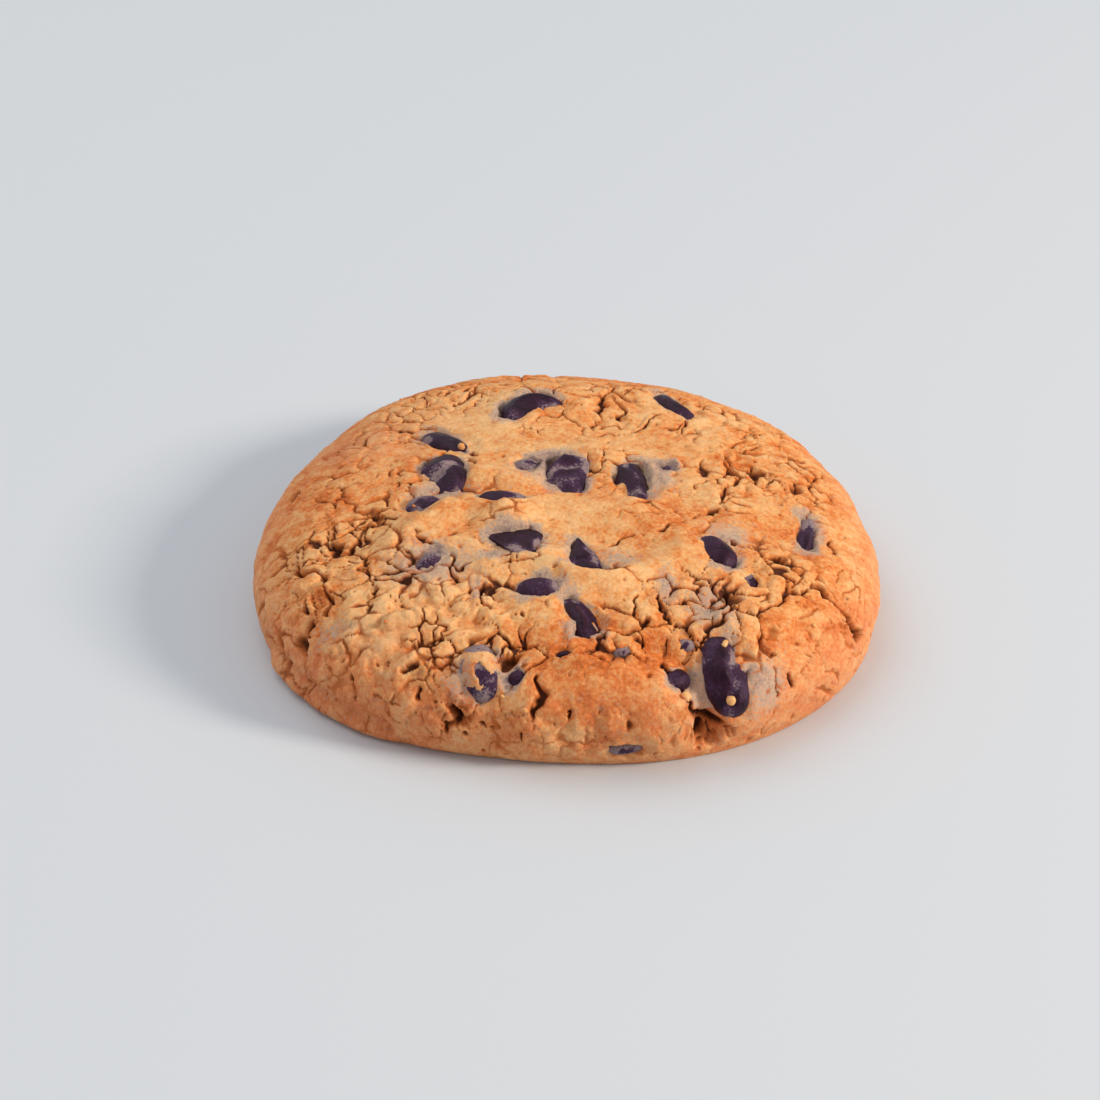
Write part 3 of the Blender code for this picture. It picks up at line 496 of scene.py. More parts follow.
# Loose crumbs: place on the skin, size, and how pale.
LOOSE_CRUMBS = {(19.8, -31.8): 1.1, (21.2, -38.6): 1.3, (-14.4, 10.4): 1.5, (15.8, -39.6): 1.4}
SCATTERED_CRUMBS = 26
CRUMB_BROWNED, LOOSE_BROWNED = 0.4, 0.15
CRUMB_SEED, CRUMB_SIZES, CRUMB_RISE = 5, (0.4, 0.9), 0.12
CRUMB_REACH = 46  # how far from the crown's middle crumbs are strewn
CRUMB_SQUEEZE, CRUMB_LUMP = (0.65, 1.1), 0.4  # how unlike a ball each is

DROP_DETAIL = 5
DENTS = {3.4: 0.2, 1.6: 0.1, 0.7: 0.04}  # how uneven a drop is, at each spacing
DROP_SEED, DROP_SEED_STEP = 200, 10

# How browned the crust is, how that varies at each spacing, and how much browner its sides are.
BROWNED_EVERYWHERE, BROWNED_SPREAD, BROWNED_SEED = 0.3, {11: 0.12, 4: 0.09, 1.6: 0.06}, 121
SIDES_BROWNED, SIDES_BROWN_STARTS, SIDES_BROWN_FULL = 0.06, 26, 44
PAINTED_LIGHT_TOPS, PAINTED_LIGHT_SWELLS = 0.3, 0.05  # painted light: how much paler a lump or a swell is for each millimetre of its height, a painted highlight, and browner where sunk, a painted shade
ROSY_SHADE_STARTS, ROSY_SHADE_FULL, HALF_WIDTH = 36, 48, 45  # the sides take a rose tint, partly their own colour and partly painted shade, most of all to the left and right
# Where the crust is browner, paler or rosier than elsewhere; the rosier zones are partly painted shade.
BROWNED = [
    Zone((4, -41), (11, 6), 0.44),
    Zone((-17, -42), (9, 5), 0.2),
    Zone((-30, -36), (12, 6), 0.2),
    Zone((-36, 2), (8, 14), 0.12),
]
PALE = [
    Zone((-12, -17), (9, 6), 0.14),
    Zone((13, -22), (8, 7), 0.12),
    # This zone is partly painted light: it pales crumbly lumps that lie in their own shade.
    Zone((-22, -27), (9, 6), 0.26),
    Zone((0, -8), (9, 3), 0.08),
    Zone((5, 14), (16, 9), 0.1),
    Zone((17, 2), (8, 7), 0.1),
]
ROSY_SHADE = [Zone((-30, 16), (10, 7), 0.7), Zone((-26, -33), (10, 7), 0.5)]

# The view is the photograph's: its side and the middle of the cookie's base in pixels, and its scale.
PHOTO_SIDE = 1100
MIDDLE_PIXEL = (565.0, 591.0)
MM_PER_PIXEL = 0.13854
VIEW_ELEVATION = 34.0
LENS_MM, SENSOR_MM = 100.0, 36.0

# A light: azimuth from +X, anticlockwise from above, elevation, side in metres, power in watts and colour.
Light = namedtuple("Light", "azimuth elevation side power colour")
LIGHTS = {
    "key_light": Light(-16.0, 26.0, 0.26, 12.7, "#FFF3E2"),
    "top_light": Light(150.0, 62.0, 1.2, 5.5, "#FFFFFF"),
}
LIGHT_DISTANCE = 1.2
WORLD_STRENGTH, WORLD_COLOUR = 0.5, (0.95, 0.97, 1.0, 1)
FLOOR_HALF, NEAREST_SEEN = 3.0, 0.01  # in metres

# Patterns in the materials: spacing in millimetres, detail and roughness.
MOTTLE, FLECK = (2.2, 5.0, 0.62), (0.5, 3.0, 0.6)  # the toasting's
BLOTCH, BLOTCH_EDGE = (1.7, 4.0, 0.65), (0.42, 2.0, 0.6)  # of chocolate rubbed into the dough
CRUST_GRAIN = (0.4, 4.0, 0.7)
BLOOM_CLOUD, DUST_SPECKS, SATIN = (1.5, 5.0, 0.6), (0.38, 4.0, 0.7), (0.8, 4.0, 0.65)  # the chocolate's


def grid_random(column, row, seed):
    """A repeatable number from 0 to 1 for each cell of a grid."""
    mixed = (column * 374761393 + row * 668265263 + seed * 974634777) & 0xFFFFFFFF
    mixed = ((mixed ^ (mixed >> 13)) * 1274126177) & 0xFFFFFFFF
    return ((mixed ^ (mixed >> 16)) & 0xFFFFFF) / 0x1000000


def grid_cell(u, v, size):
    """The cell of a grid that each place is in, and how far along each way the place is, in cells."""
    across, along = u / size, v / size
    return np.floor(across).astype(np.int64), np.floor(along).astype(np.int64), across, along


def smooth_step(low, high, value):
    share = np.clip((value - low) / (high - low), 0, 1)
    return share * share * (3 - 2 * share)


def swell(u, v, size, seed):
    """Smooth bumps from -1 to 1, size millimetres apart, on a grid that is turned by its own angle."""
    cosine, sine = math.cos(seed), math.sin(seed)
    column, row, across, along = grid_cell(u * cosine + v * sine, v * cosine - u * sine, size)
    across, along = across - column, along - row
    across = across * across * (3 - 2 * across)
    along = along * along * (3 - 2 * along)
    near = grid_random(column, row, seed) * (1 - across) + grid_random(column + 1, row, seed) * across
    far = grid_random(column, row + 1, seed) * (1 - across) + grid_random(column + 1, row + 1, seed) * across
    return 2 * (near * (1 - along) + far * along) - 1


def ledges(u, v, size, seed):
    """Plates like torn paper, from 0 to 1: each rises sharply at its torn edge and slopes away from it."""
    level = swell(u, v, size, seed) + 0.5 * swell(u, v, size / 2.1, seed + 1)
    level += 0.2 * swell(u, v, size / 4.7, seed + 2)
    share = LEDGE_LEVELS * level - np.floor(LEDGE_LEVELS * level)
    return smooth_step(0, LEDGE_EDGE, share) * (1 - share)


def seats_near(u, v, spacing, seed, more):
    """For the nine cells round each place: the way to the cell's random seat, and more random numbers."""
    column, row, across, along = grid_cell(u, v, spacing)
    for i in (-1, 0, 1):
        for j in (-1, 0, 1):
            drawn = [grid_random(column + i, row + j, seed + number) for number in range(2 + more)]
            yield column + i + drawn[0] - across, row + j + drawn[1] - along, *drawn[2:]


def plates(u, v, layer):
    """The height of the broken plate that each place is on, from 0 to 1, and how far the plate's edge is."""
    near, far = np.full(u.shape, 9.0), np.full(u.shape, 9.0)  # further than any seat
    own, other = np.zeros(u.shape), np.zeros(u.shape)
    for seat_u, seat_v, level in seats_near(u, v, layer.size, layer.seed, 1):
        away = np.hypot(seat_u, seat_v)
        first, second = away < near, away < far
        other = np.where(first, own, np.where(second, level, other))
        far = np.where(first, near, np.where(second, away, far))
        own = np.where(first, level, own)
        near = np.where(first, away, near)
    from_edge = layer.size * (far - near) / 2
    share = 0.5 + 0.5 * smooth_step(0, PLATE_EDGE, from_edge)
    return own * share + other * (1 - share), from_edge


def knobs(u, v, layer):
    """How high the round crumbly lumps stand at each place."""
    highest = np.zeros(u.shape)
    for seat_u, seat_v, width, chance in seats_near(u, v, layer.spacing, layer.seed, 2):
        radius = layer.radius * (0.5 + 0.5 * width)
        there = chance < layer.share
        away = np.hypot(seat_u, seat_v) * layer.spacing / radius
        highest = np.maximum(highest, there * radius * np.clip(1 - away**2, 0, 1) ** layer.roundness)
    return layer.rise * highest


def pores(u, v, layer):
    """How deep the pores of one layer go at each place."""
    deepest = np.zeros(u.shape)
    for seat_u, seat_v, chance, width, longer in seats_near(u, v, layer.spacing, layer.seed, 3):
        there = chance < layer.share
        radius = layer.radius * (0.45 + 0.55 * width)
        stretch = 0.65 + 0.7 * longer
        away = np.hypot(seat_u * stretch, seat_v / stretch) * layer.spacing / radius
        deepest = np.maximum(deepest, there * 1.6 * radius * (1 - smooth_step(0.3, 1.0, away)))
    return deepest


def drop_reach(u, v, drop):
    """How far each place is from a drop's middle, where 1 is the drop's own edge."""
    turn = math.radians(drop.turn)
    u, v = u - drop.place[0], v - drop.place[1]
    along = 2 * (u * math.cos(turn) + v * math.sin(turn)) / drop.size[0]
    across = (v * math.cos(turn) - u * math.sin(turn)) * 2 / drop.size[1]
    across -= drop.bend * along**2 * drop.size[0] / drop.size[1]
    along /= 1 - drop.tip * np.clip(across, 0, 0.9)
    return (np.abs(along) ** drop.boxiness + np.abs(across) ** drop.boxiness) ** (1 / drop.boxiness)


def beside_line(u, v, line):
    """How far right of a line of points each place is, below zero to its left, and how far from its ends."""
    lengths = [math.dist(start, end) for start, end in zip(line[:-1], line[1:])]
    best, beside, from_ends = np.full(u.shape, 1e9), np.zeros(u.shape), np.zeros(u.shape)
    done = 0
    for (u0, v0), (u1, v1), length in zip(line[:-1], line[1:], lengths):
        along_u, along_v = u1 - u0, v1 - v0
        share = np.clip(((u - u0) * along_u + (v - v0) * along_v) / length**2, 0, 1)
        away = np.hypot(u - u0 - share * along_u, v - v0 - share * along_v)
        to_right = (u - u0) * along_v > (v - v0) * along_u
        run = done + share * length
        beside = np.where(away < best, np.where(to_right, away, -away), beside)
        from_ends = np.where(away < best, np.minimum(run, sum(lengths) - run), from_ends)
        best = np.minimum(best, away)
        done += length
    return beside, from_ends


def distance_to_line(u, v, line):
    return np.abs(beside_line(u, v, line)[0])


def lip_height(u, v, lip):
    """How high a torn lip of dough stands: sharply up on the right of its line, and sloping away again."""
    beside, from_ends = beside_line(u, v, lip.line)
    rise = lip.rise * smooth_step(0, lip.reach, from_ends)
    return rise * smooth_step(-LIP_EDGE, LIP_EDGE, beside) * np.exp(-((beside / lip.reach) ** 2))


def depth_inside(u, v, corners):
    """How deep inside a closed outline each place is, below zero outside it."""
    closed = [*corners, corners[0]]
    inside = np.zeros(u.shape, bool)
    for (u0, v0), (u1, v1) in zip(closed[:-1], closed[1:]):
        if v0 != v1:
            inside ^= ((v0 > v) != (v1 > v)) & (u < u0 + (v - v0) * (u1 - u0) / (v1 - v0))
    away = distance_to_line(u, v, closed)
    return np.where(inside, away, -away)


def depth_shown(u, v, name):
    """How deep inside the visible outline of a drop each place is, in millimetres."""
    if name in SHOWN:
        return np.max([depth_inside(u, v, corners) for corners in SHOWN[name]], axis=0)
    return (OPENING - drop_reach(u, v, DROPS[name])) * min(DROPS[name].size[:2]) / 2


def opened(u, v, crack):
    """How far each place has sunk into a crack, from 0 to 1: the crack widens and closes along its line."""
    width = crack.width * (0.7 + 0.7 * swell(u, v, TORN_SPACING, CRACK_SEED))
    return 1 - smooth_step(CRACK_FLOOR * width, CRACK_RIM * width, distance_to_line(u, v, crack.line))


def sunk(u, v, pit):
    """How far each place has sunk into a ragged pit, from 0 to 1."""
    away = np.hypot(u - pit.place[0], v - pit.place[1]) * (1 + 0.35 * swell(u, v, TORN_SPACING, PIT_SEED))
    return 1 - smooth_step(PIT_FLOOR * pit.radius, PIT_RIM * pit.radius, away)


def around(u, v, middle, reach):
    """A soft spot on the skin: 1 in its middle, falling off over its reach."""
    return np.exp(-(((u - middle[0]) / reach[0]) ** 2) - ((v - middle[1]) / reach[1]) ** 2)


def strength(u, v, zones):
    """How strong the zones' relief is at each place, from 0 to 1."""
    return np.max([zone.share * around(u, v, zone.middle, zone.reach) for zone in zones], axis=0)


def wavering(u, v, waver, seed):
    """The skin's places moved about a little, so that no edge drawn on them is straight."""
    u_bent, v_bent = u, v
    for layer, (spacing, reach) in enumerate(waver.items()):
        u_bent = u_bent + reach * swell(u, v, spacing, seed + layer)
        v_bent = v_bent + reach * swell(u, v, spacing, seed + 2 + layer)
    return u_bent, v_bent


class BakedForm:
    """The cookie's smooth form, and the skin over it, in millimetres from the middle of the crown."""

    def __init__(self, radius, crown_height, widest_height):
        rise = np.linspace(math.pi / 2, 0, SECTION_STEPS)
        self.radius = radius * np.abs(np.cos(rise)) ** (2 / SHOULDER)
        self.height = widest_height + (crown_height - widest_height) * np.sin(rise) ** (2 / CROWN_POWER)
        fall = np.linspace(0, math.pi / 2, SECTION_STEPS // 4)[1:]
        self.radius = np.append(self.radius, radius - UNDERCUT * (1 - np.cos(fall)))
        self.height = np.append(self.height, widest_height - (widest_height + BASE_EXCESS) * np.sin(fall))
        self.radius[0] = 0
        self.skin = np.append(0, np.cumsum(np.hypot(np.diff(self.radius), np.diff(self.height))))
        self.reach = self.skin[-1]  # where the crust turns under

    def wrapped(self, u, v):
        """Where the smooth form carries each place of the skin."""
        along, angle = np.hypot(u, v), np.arctan2(v, u)
        outline = np.ones_like(angle)
        for lobes, (cosine, sine) in OUTLINE_WAVES.items():
            outline = outline + cosine * np.cos(lobes * angle) + sine * np.sin(lobes * angle)
        radius = np.interp(along, self.skin, self.radius) * outline
        height = np.interp(along, self.skin, self.height)
        return np.stack([radius * np.cos(angle), radius * np.sin(angle), height], axis=-1)

    def outward(self, u, v):
        """The smooth form's unit normal at each place of the skin."""
        step = NORMAL_STEP
        across = self.wrapped(u + step, v) - self.wrapped(u - step, v)
        along = self.wrapped(u, v + step) - self.wrapped(u, v - step)
        normal = np.cross(across, along)
        return normal / np.maximum(np.linalg.norm(normal, axis=-1, keepdims=True), 1e-9)

    def fade(self, u, v):
        """1 on the crust, dying out to 0 at the base."""
        return 1 - smooth_step(self.reach - CALM_BAND, self.reach - CALM_END, np.hypot(u, v))

    def place(self, u, v, height):
        """Places in metres that stand a height in millimetres out of the smooth form."""
        return (self.wrapped(u, v) + height[..., None] * self.outward(u, v) + np.array([*BOX_SHIFT, 0])) * MM

    def main_relief(self, u, v):
        """How far the solids' crust stands out from the smooth form."""
        u_bent, v_bent = wavering(u, v, WAVER, WAVER_SEED)
        height = BROAD_HEIGHT * swell(u, v, BROAD_SWELL, BROAD_SEED)
        height = height + SMALL_HEIGHT * swell(u, v, SMALL_SWELL, SMALL_SEED)
        for fold in FOLDS:
            height += fold.height * np.exp(-((distance_to_line(u, v, fold.line) / fold.half_width) ** 2))
        for lip in LIPS:
            height += lip_height(u_bent, v_bent, lip)
        torn = ledges(u_bent, v_bent, LEDGE_SIZE, LEDGE_SEED) - 0.5
        height += LEDGE_HEIGHT * strength(u, v, CRAGGY) * torn
        height += strength(u, v, CRUMBLY) * knobs(u_bent, v_bent, MAIN_KNOBS)
        for drop in DROPS.values():
            reach = drop_reach(u_bent, v_bent, drop)
            height += COLLAR_HEIGHT * np.exp(-(((reach - COLLAR_AT) / COLLAR_WIDTH) ** 2))
            height -= DIMPLE_DEPTH * (1 - smooth_step(DIMPLE_FULL, DIMPLE_END, reach))
        u_torn, v_torn = wavering(u_bent, v_bent, TORN_WAVER, TORN_SEED)
        for crack in CRACKS:
            height -= crack.depth * opened(u_torn, v_torn, crack)
        for pit in PITS:
            height -= pit.depth * sunk(u_torn, v_torn, pit)
        return height * self.fade(u, v)

    def fine_relief(self, u, v):
        """The plates, crumbs, small cracks, pores and grains, and how far into a crack, pore or crevice each
        place lies, as the mask for raw rims and painted shade.
        """
        u_bent, v_bent = wavering(u, v, WAVER, WAVER_SEED)
        crumbly, craggy = strength(u, v, CRUMBLY), strength(u, v, CRAGGY)
        rough = np.clip(crumbly + craggy, 0, 1)
        lively = 1 - CALMED * strength(u, v, CALM)
        lively *= 1 - SIDES_CALM * smooth_step(SIDES_START, SIDES_FULL, np.hypot(u, v))
        # The second mask is painted shade: it darkens plate cracks, crevices, pores, cracks and pits.
        height, hollow_shade = np.zeros(u.shape), np.zeros(u.shape)
        u_torn, v_torn = wavering(u_bent, v_bent, TORN_WAVER, TORN_SEED)
        for layer in PLATES:
            level, from_edge = plates(u_torn, v_torn, layer)
            here = swell(u, v, 1.6 * layer.size, layer.seed + 3)
            here = here + PLATED_CRAGGY * craggy + PLATED_CRUMBLY * crumbly
            here = lively * smooth_step(PLATED_STARTS, PLATED_FULL, here)
            uneven = swell(u, v, 0.9 * layer.size, layer.seed + 4)
            width = layer.width * np.clip(0.55 + 0.8 * uneven, 0.01, 1.3)
            parted = here * (1 - smooth_step(0.4 * width, width, from_edge))
            rounded = PLATE_ROUND * (1 - smooth_step(0, 0.25 * layer.size, from_edge))
            height += here * (layer.height * (level - 0.5) - rounded) - layer.depth * parted
            hollow_shade = np.maximum(hollow_shade, parted)
        lumps = knobs(u_bent, v_bent, MAIN_KNOBS)
        for layer in FINE_KNOBS:
            fine_lumps = knobs(u_bent, v_bent, layer)
            height += np.clip(crumbly + 0.25 * craggy, 0, 1) * fine_lumps
            lumps = lumps + fine_lumps
        uneven = swell(u, v, CREVICE_SPACING, CREVICE_SEED)
        between = (1 - smooth_step(0.05, 0.3, lumps)) * smooth_step(-0.3, 0.3, uneven)
        between *= np.clip(1.3 * crumbly + 0.3 * craggy, 0, 1)
        height -= CREVICE_DEPTH * between
        hollow_shade = np.maximum(hollow_shade, CREVICE_SHADE * between)
        for layer in PORES:
            depth = pores(u_bent, v_bent, layer) * (0.4 + 0.6 * rough)
            height -= depth
            hollow_shade = np.maximum(hollow_shade, np.clip(PORE_SHADE * depth, 0, 1))
        for crack in FINE_CRACKS:
            share = opened(u_torn, v_torn, crack)
            height -= crack.depth * share
            hollow_shade = np.maximum(hollow_shade, share)
        for crack in CRACKS:
            hollow_shade = np.maximum(hollow_shade, opened(u_torn, v_torn, crack) * min(1, 0.8 * crack.depth))
        for number, pit in enumerate(PITS[:RAGGED_PITS]):
            most = PIT_SHADE if number else CAVITY_SHADE
            hollow_shade = np.maximum(hollow_shade, most * sunk(u_torn, v_torn, pit))
        comb = strength(u, v, HONEYCOMB) * pores(u_torn, v_torn, COMB_PORES)
        height -= comb
        hollow_shade = np.maximum(hollow_shade, np.clip(comb, 0, 1))
        for layer, (spacing, reach) in enumerate(GRAINS.items()):
            height += reach * (0.5 + rough) * swell(u, v, spacing, GRAIN_SEED + layer)
        height += self.wrinkles(u, v)
        return height * self.fade(u, v), hollow_shade * self.fade(u, v)

    def wrinkles(self, u, v):
        """Fine slanting wrinkles, round the sides only."""
        along, angle = np.hypot(u, v), np.arctan2(v, u)
        slant = math.radians(WRINKLE_SLANT)
        round_side = angle * WRINKLE_FULL
        lengthwise = round_side * math.cos(slant) + along * math.sin(slant)
        crosswise = along * math.cos(slant) - round_side * math.sin(slant)
        fine = swell(lengthwise / WRINKLE_LENGTH, crosswise / WRINKLE_WIDTH, 1.0, 0)
        return WRINKLE_HEIGHT * fine * smooth_step(WRINKLE_STARTS, WRINKLE_FULL, along)

    def drop_top(self, u, v, drop):
        """How high a drop's upper skin stands out of the smooth form at each place within its edge."""
        seat = self.main_relief(*(np.array([value], float) for value in drop.place))[0]
        dome = np.clip(1 - drop_reach(u, v, drop) ** drop.boxiness, 0, 1) ** (1 / drop.boxiness)
        rise = 0.25 * drop.size[2] if drop.tip else 0.5 * drop.size[2]
        return seat + min(drop.proud, rise) + rise * (dome - 1)

    def opened_crust(self, u, v, height):
        """The crust's height with an opening for each drop, and how stained with chocolate each place is."""
        u_bent, v_bent = wavering(u, v, OPENING_WAVER, OPENING_SEED)
        stained = SMEAR_MOST * strength(u_bent, v_bent, SMEARS)
        for name, drop in DROPS.items():
            span = max(drop.size[:2]) / 2
            by = np.flatnonzero(np.hypot(u - drop.place[0], v - drop.place[1]) < 1.4 * span + STAIN_REACH)
            here, there = u_bent[by], v_bent[by]
            depth = depth_shown(here, there, name)
            top = self.drop_top(u[by], v[by], drop)
            uneven = np.clip(0.6 + 0.8 * swell(here, there, UNEVEN_SPACING, UNEVEN_SEED), 0, 1)
            level = height[by] - SHOULDER_SINK * uneven * (1 - smooth_step(0, SHOULDER_WIDTH, -depth))
            hole = smooth_step(-OPENING_EDGE, OPENING_EDGE, depth)
            bottom = np.minimum(level - OPENING_DEPTH, top - OPENING_DEPTH)
            veiled = np.zeros(len(by))
            for veil in VEILS:
                if veil.drop == name:
                    far = distance_to_line(here, there, veil.line) / veil.half_width
                    cover = 1 - smooth_step(*VEIL_EDGE, far)
                    cover *= 1 - smooth_step(*VEIL_END, drop_reach(here, there, drop))
                    level = level * (1 - cover) + np.maximum(level, top + VEIL_THICKNESS) * cover
                    veiled = np.maximum(veiled, cover)
            height[by] = level * (1 - hole) + bottom * hole
            uneven = np.clip(0.5 + swell(here, there, STAIN_SPACING, STAIN_SEED), 0, 1)
            far_out = STAIN_REACH * (0.25 + 0.75 * uneven)
            near = 1 - smooth_step(0, 1, -depth / far_out)
            near = near * (STAIN_LEAST + STAIN_RUBBED * RUBBED.get(name, RUBBED_ELSEWHERE))
            if name not in CLEAN_BESIDE:
                stained[by] = np.maximum(stained[by], near * (1 - VEIL_CLEAN * veiled))
        return height, np.clip(stained, 0, 1)

    def crust_height(self, u, v):
        """How far the finished crust stands out of the smooth form, with its looks at each place."""
        fine, hollow_shade = self.fine_relief(u, v)
        height, stained = self.opened_crust(u, v, self.main_relief(u, v) + fine)
        browned, rosy_shade = zone_looks(u, v, height, fine)
        return height, {"browned": browned, "rosy_shade": rosy_shade, "hollow_shade": hollow_shade, "stained": stained}


def zone_looks(u, v, relief, fine):
    """How browned and how rose-tinted each place is, from 0 to 1, with painted highlight on lumps, painted
    shade in sunk places and partly painted shade on the sides.
    """
    along = np.hypot(u, v)
    browned = np.full(u.shape, BROWNED_EVERYWHERE)
    for layer, (spacing, reach) in enumerate(BROWNED_SPREAD.items()):
        browned += reach * swell(u, v, spacing, BROWNED_SEED + layer)
    sides = SIDES_BROWNED * smooth_step(SIDES_BROWN_STARTS, SIDES_BROWN_FULL, along)
    browned += sides + strength(u, v, BROWNED) - strength(u, v, PALE)
    # Painted light: lumps and swells turn paler as painted highlight, and sunk places browner as painted
    # shade.
    browned -= PAINTED_LIGHT_SWELLS * np.clip(relief, -1.5, 1.5) + PAINTED_LIGHT_TOPS * np.clip(fine - 0.1, -0.6, 0.8)
    # The rose tint of the sides is partly their own colour and partly painted shade.
    rosy_shade = smooth_step(ROSY_SHADE_STARTS, ROSY_SHADE_FULL, along) * np.clip(0.45 + 0.55 * np.abs(u) / HALF_WIDTH, 0, 1)
    rosy_shade = np.maximum(rosy_shade, strength(u, v, ROSY_SHADE))
    return np.clip(browned, 0, 1), np.clip(rosy_shade, 0, 1)


def finish_piece(piece, slot, *nodes):
    """Puts a finished piece on the cookie's one body, in place of any solids that it stands for."""
    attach(piece, "root")
    if nodes:
        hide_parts(*nodes)


def link_piece(name, mesh, material):
    piece = bpy.data.objects.new(name, mesh)
    bpy.context.scene.collection.objects.link(piece)
    mesh.materials.append(material)
    mesh.shade_smooth()
    return piece


def places_of(mesh):
    places = np.zeros(len(mesh.vertices) * 3)
    mesh.vertices.foreach_get("co", places)
    return places.reshape(-1, 3)


def keep_in_box(places):
    """Holds a piece within the solids' own box, in metres."""
    return np.clip(places, np.array(CAD_LOW), np.array(CAD_HIGH))


def store(mesh, name, values):
    """Keeps a value for each point of a piece, for its material to read."""
    mesh.attributes.new(name, "FLOAT", "POINT").data.foreach_set("value", values.astype(np.float32))


def mesh_from(shape, name):
    """A mesh of a bmesh, which is freed."""
    mesh = bpy.data.meshes.new(name)
    shape.to_mesh(mesh)
    shape.free()
    return mesh


def round_out(square, reach):
    """Each place of a square moved to its place on a disc, with the same share of the area."""
    a, b = square[:, 0], square[:, 1]
    wide = np.abs(a) > np.abs(b)
    far = np.where(wide, a, b)
    safe = np.where(np.abs(far) < 1e-12, 1.0, far)
    angle = np.where(wide, math.pi / 4 * b / safe, math.pi / 2 - math.pi / 4 * a / safe)
    return reach * far * np.cos(angle), reach * far * np.sin(angle)


def close_base(mesh):
    """Turns the crust under: rings of faces drawn in along the base and welded in its middle."""
    shell = bmesh.new()
    shell.from_mesh(mesh)
    rim = [edge for edge in shell.edges if edge.is_boundary]
    for share in BASE_RINGS:
        grown = bmesh.ops.extrude_edge_only(shell, edges=rim)["geom"]
        ring = [item for item in grown if isinstance(item, bmesh.types.BMVert)]
        for vert in ring:
            vert.co = Vector((vert.co.x * share, vert.co.y * share, 0))
        rim = [edge for edge in grown if isinstance(edge, bmesh.types.BMEdge) and edge.is_boundary]
    bmesh.ops.pointmerge(shell, verts=ring, merge_co=(0, 0, 0))
    bmesh.ops.recalc_face_normals(shell, faces=shell.faces)
    shell.to_mesh(mesh)
    shell.free()


def thin_out(piece, triangles):
    """Fewer faces where the piece is smooth, and as many as before at its cracks."""
    few = piece.modifiers.new("few_faces", "DECIMATE")
    few.ratio = triangles / sum(len(face.vertices) - 2 for face in piece.data.polygons)
    graph = bpy.context.evaluated_depsgraph_get()
    mesh = bpy.data.meshes.new_from_object(piece.evaluated_get(graph))
    piece.modifiers.clear()
    old = piece.data
    piece.data = mesh
    bpy.data.meshes.remove(old)


def build_crust(form, material):
    """The crust: a square of fine faces laid out as the round skin, set in relief, and closed below."""
    square = bmesh.new()
    bmesh.ops.create_grid(square, x_segments=DISC_CELLS, y_segments=DISC_CELLS, size=1.0)
    mesh = mesh_from(square, "crust")
    u, v = round_out(places_of(mesh), form.reach)
    height, looks = form.crust_height(u, v)
    mesh.vertices.foreach_set("co", keep_in_box(form.place(u, v, height)).ravel())
    for name, values in looks.items():
        store(mesh, name, values)
    close_base(mesh)
    crust = link_piece("crust", mesh, material)
    thin_out(crust, CRUST_TRIANGLES)
    finish_piece(crust, "baked_dough", "dough")
    return crust


def drop_seat(form, drop):
    """The drop's seat in the crust: its middle, with its own two ways along the skin and one out of it."""
    u, v = (np.array([value], float) for value in drop.place)
    seat = Vector(form.place(u, v, form.main_relief(u, v))[0])
    upright = Vector(form.outward(u, v)[0])
    along = Vector((1, 0, 0))
    along = (along - upright * along.dot(upright)).normalized()
    across = upright.cross(along)
    axes = Matrix((along, across, upright)).transposed().to_4x4()
    return Matrix.Translation(seat + upright * (drop.proud - drop.size[2] / 2) * MM) @ axes


def drop_turned(drop):
    """The drop's lean about its own length and its turn on the crust."""
    return Matrix.Rotation(math.radians(drop.turn), 3, "Z") @ Matrix.Rotation(math.radians(drop.lean), 3, "X")


def build_drop(name, drop, form, material, seed):
    """A drop's own solid again, finely: boxy, bent, with flat faces, dents and dough rubbed on it."""
    ball = bmesh.new()
    bmesh.ops.create_icosphere(ball, subdivisions=DROP_DETAIL, radius=1.0)
    mesh = mesh_from(ball, name)
    unit = places_of(mesh)
    unit /= np.linalg.norm(unit, axis=1, keepdims=True)
    shaped = unit / ((np.abs(unit) ** drop.boxiness).sum(1) ** (1 / drop.boxiness))[:, None]
    for facet in FACETS.get(name, ()):
        towards = Vector(facet[:3]).normalized()
        past = np.clip(shaped @ np.array(towards) - facet[3], 0, None)
        shaped = shaped - past[:, None] * (1 - FACET_KEPT) * np.array(towards)
    half = np.array(drop.size) / 2
    place = shaped * half
    drawn = 1 - drop.tip * np.clip(shaped[:, 2], 0, None)
    place[:, :2] *= drawn[:, None]
    place[:, 1] += drop.bend * shaped[:, 0] ** 2 * half[0]
    dent = np.zeros(len(place))
    for layer, (spacing, reach) in enumerate(DENTS.items()):
        u, v = place[:, 0] + 0.7 * place[:, 2], place[:, 1] - 0.6 * place[:, 2]
        dent += reach * swell(u, v, spacing, seed + layer)
    place += unit * dent[:, None]
    place = place @ np.array(drop_turned(drop)).T
    u, v = place[:, 0] + drop.place[0], place[:, 1] + drop.place[1]
    powdered = np.clip(0.5 + 1.2 * swell(u, v, POWDER_SPACING, seed + 5), 0, 1)
    rubbed = RUBBED.get(name, RUBBED_ELSEWHERE) + RUBBED_LEAST
    rubbed = rubbed + RUBBED_SPREAD * swell(u, v, RUBBED_SPACING, seed + 6)
    rubbed += POWDER * powdered * (1 - smooth_step(-0.2, POWDER_REACH, depth_shown(u, v, name)))
    if name in GROOVES:
        groove = 1 - smooth_step(0, GROOVE_WIDTH, distance_to_line(u, v, GROOVES[name]))
        place[:, 2] -= GROOVE_DEPTH * groove * (place[:, 2] > 0)
        rubbed += GROOVE_DUST * groove
    store(mesh, "rubbed", np.clip(rubbed, 0, 1))
    seat = np.array(drop_seat(form, drop))
    place = place * MM @ seat[:3, :3].T + seat[:3, 3]
    mesh.vertices.foreach_set("co", keep_in_box(place).ravel())
    chip = link_piece(f"{name}_chocolate", mesh, material)
    finish_piece(chip, "dark_chocolate", name)
    return chip


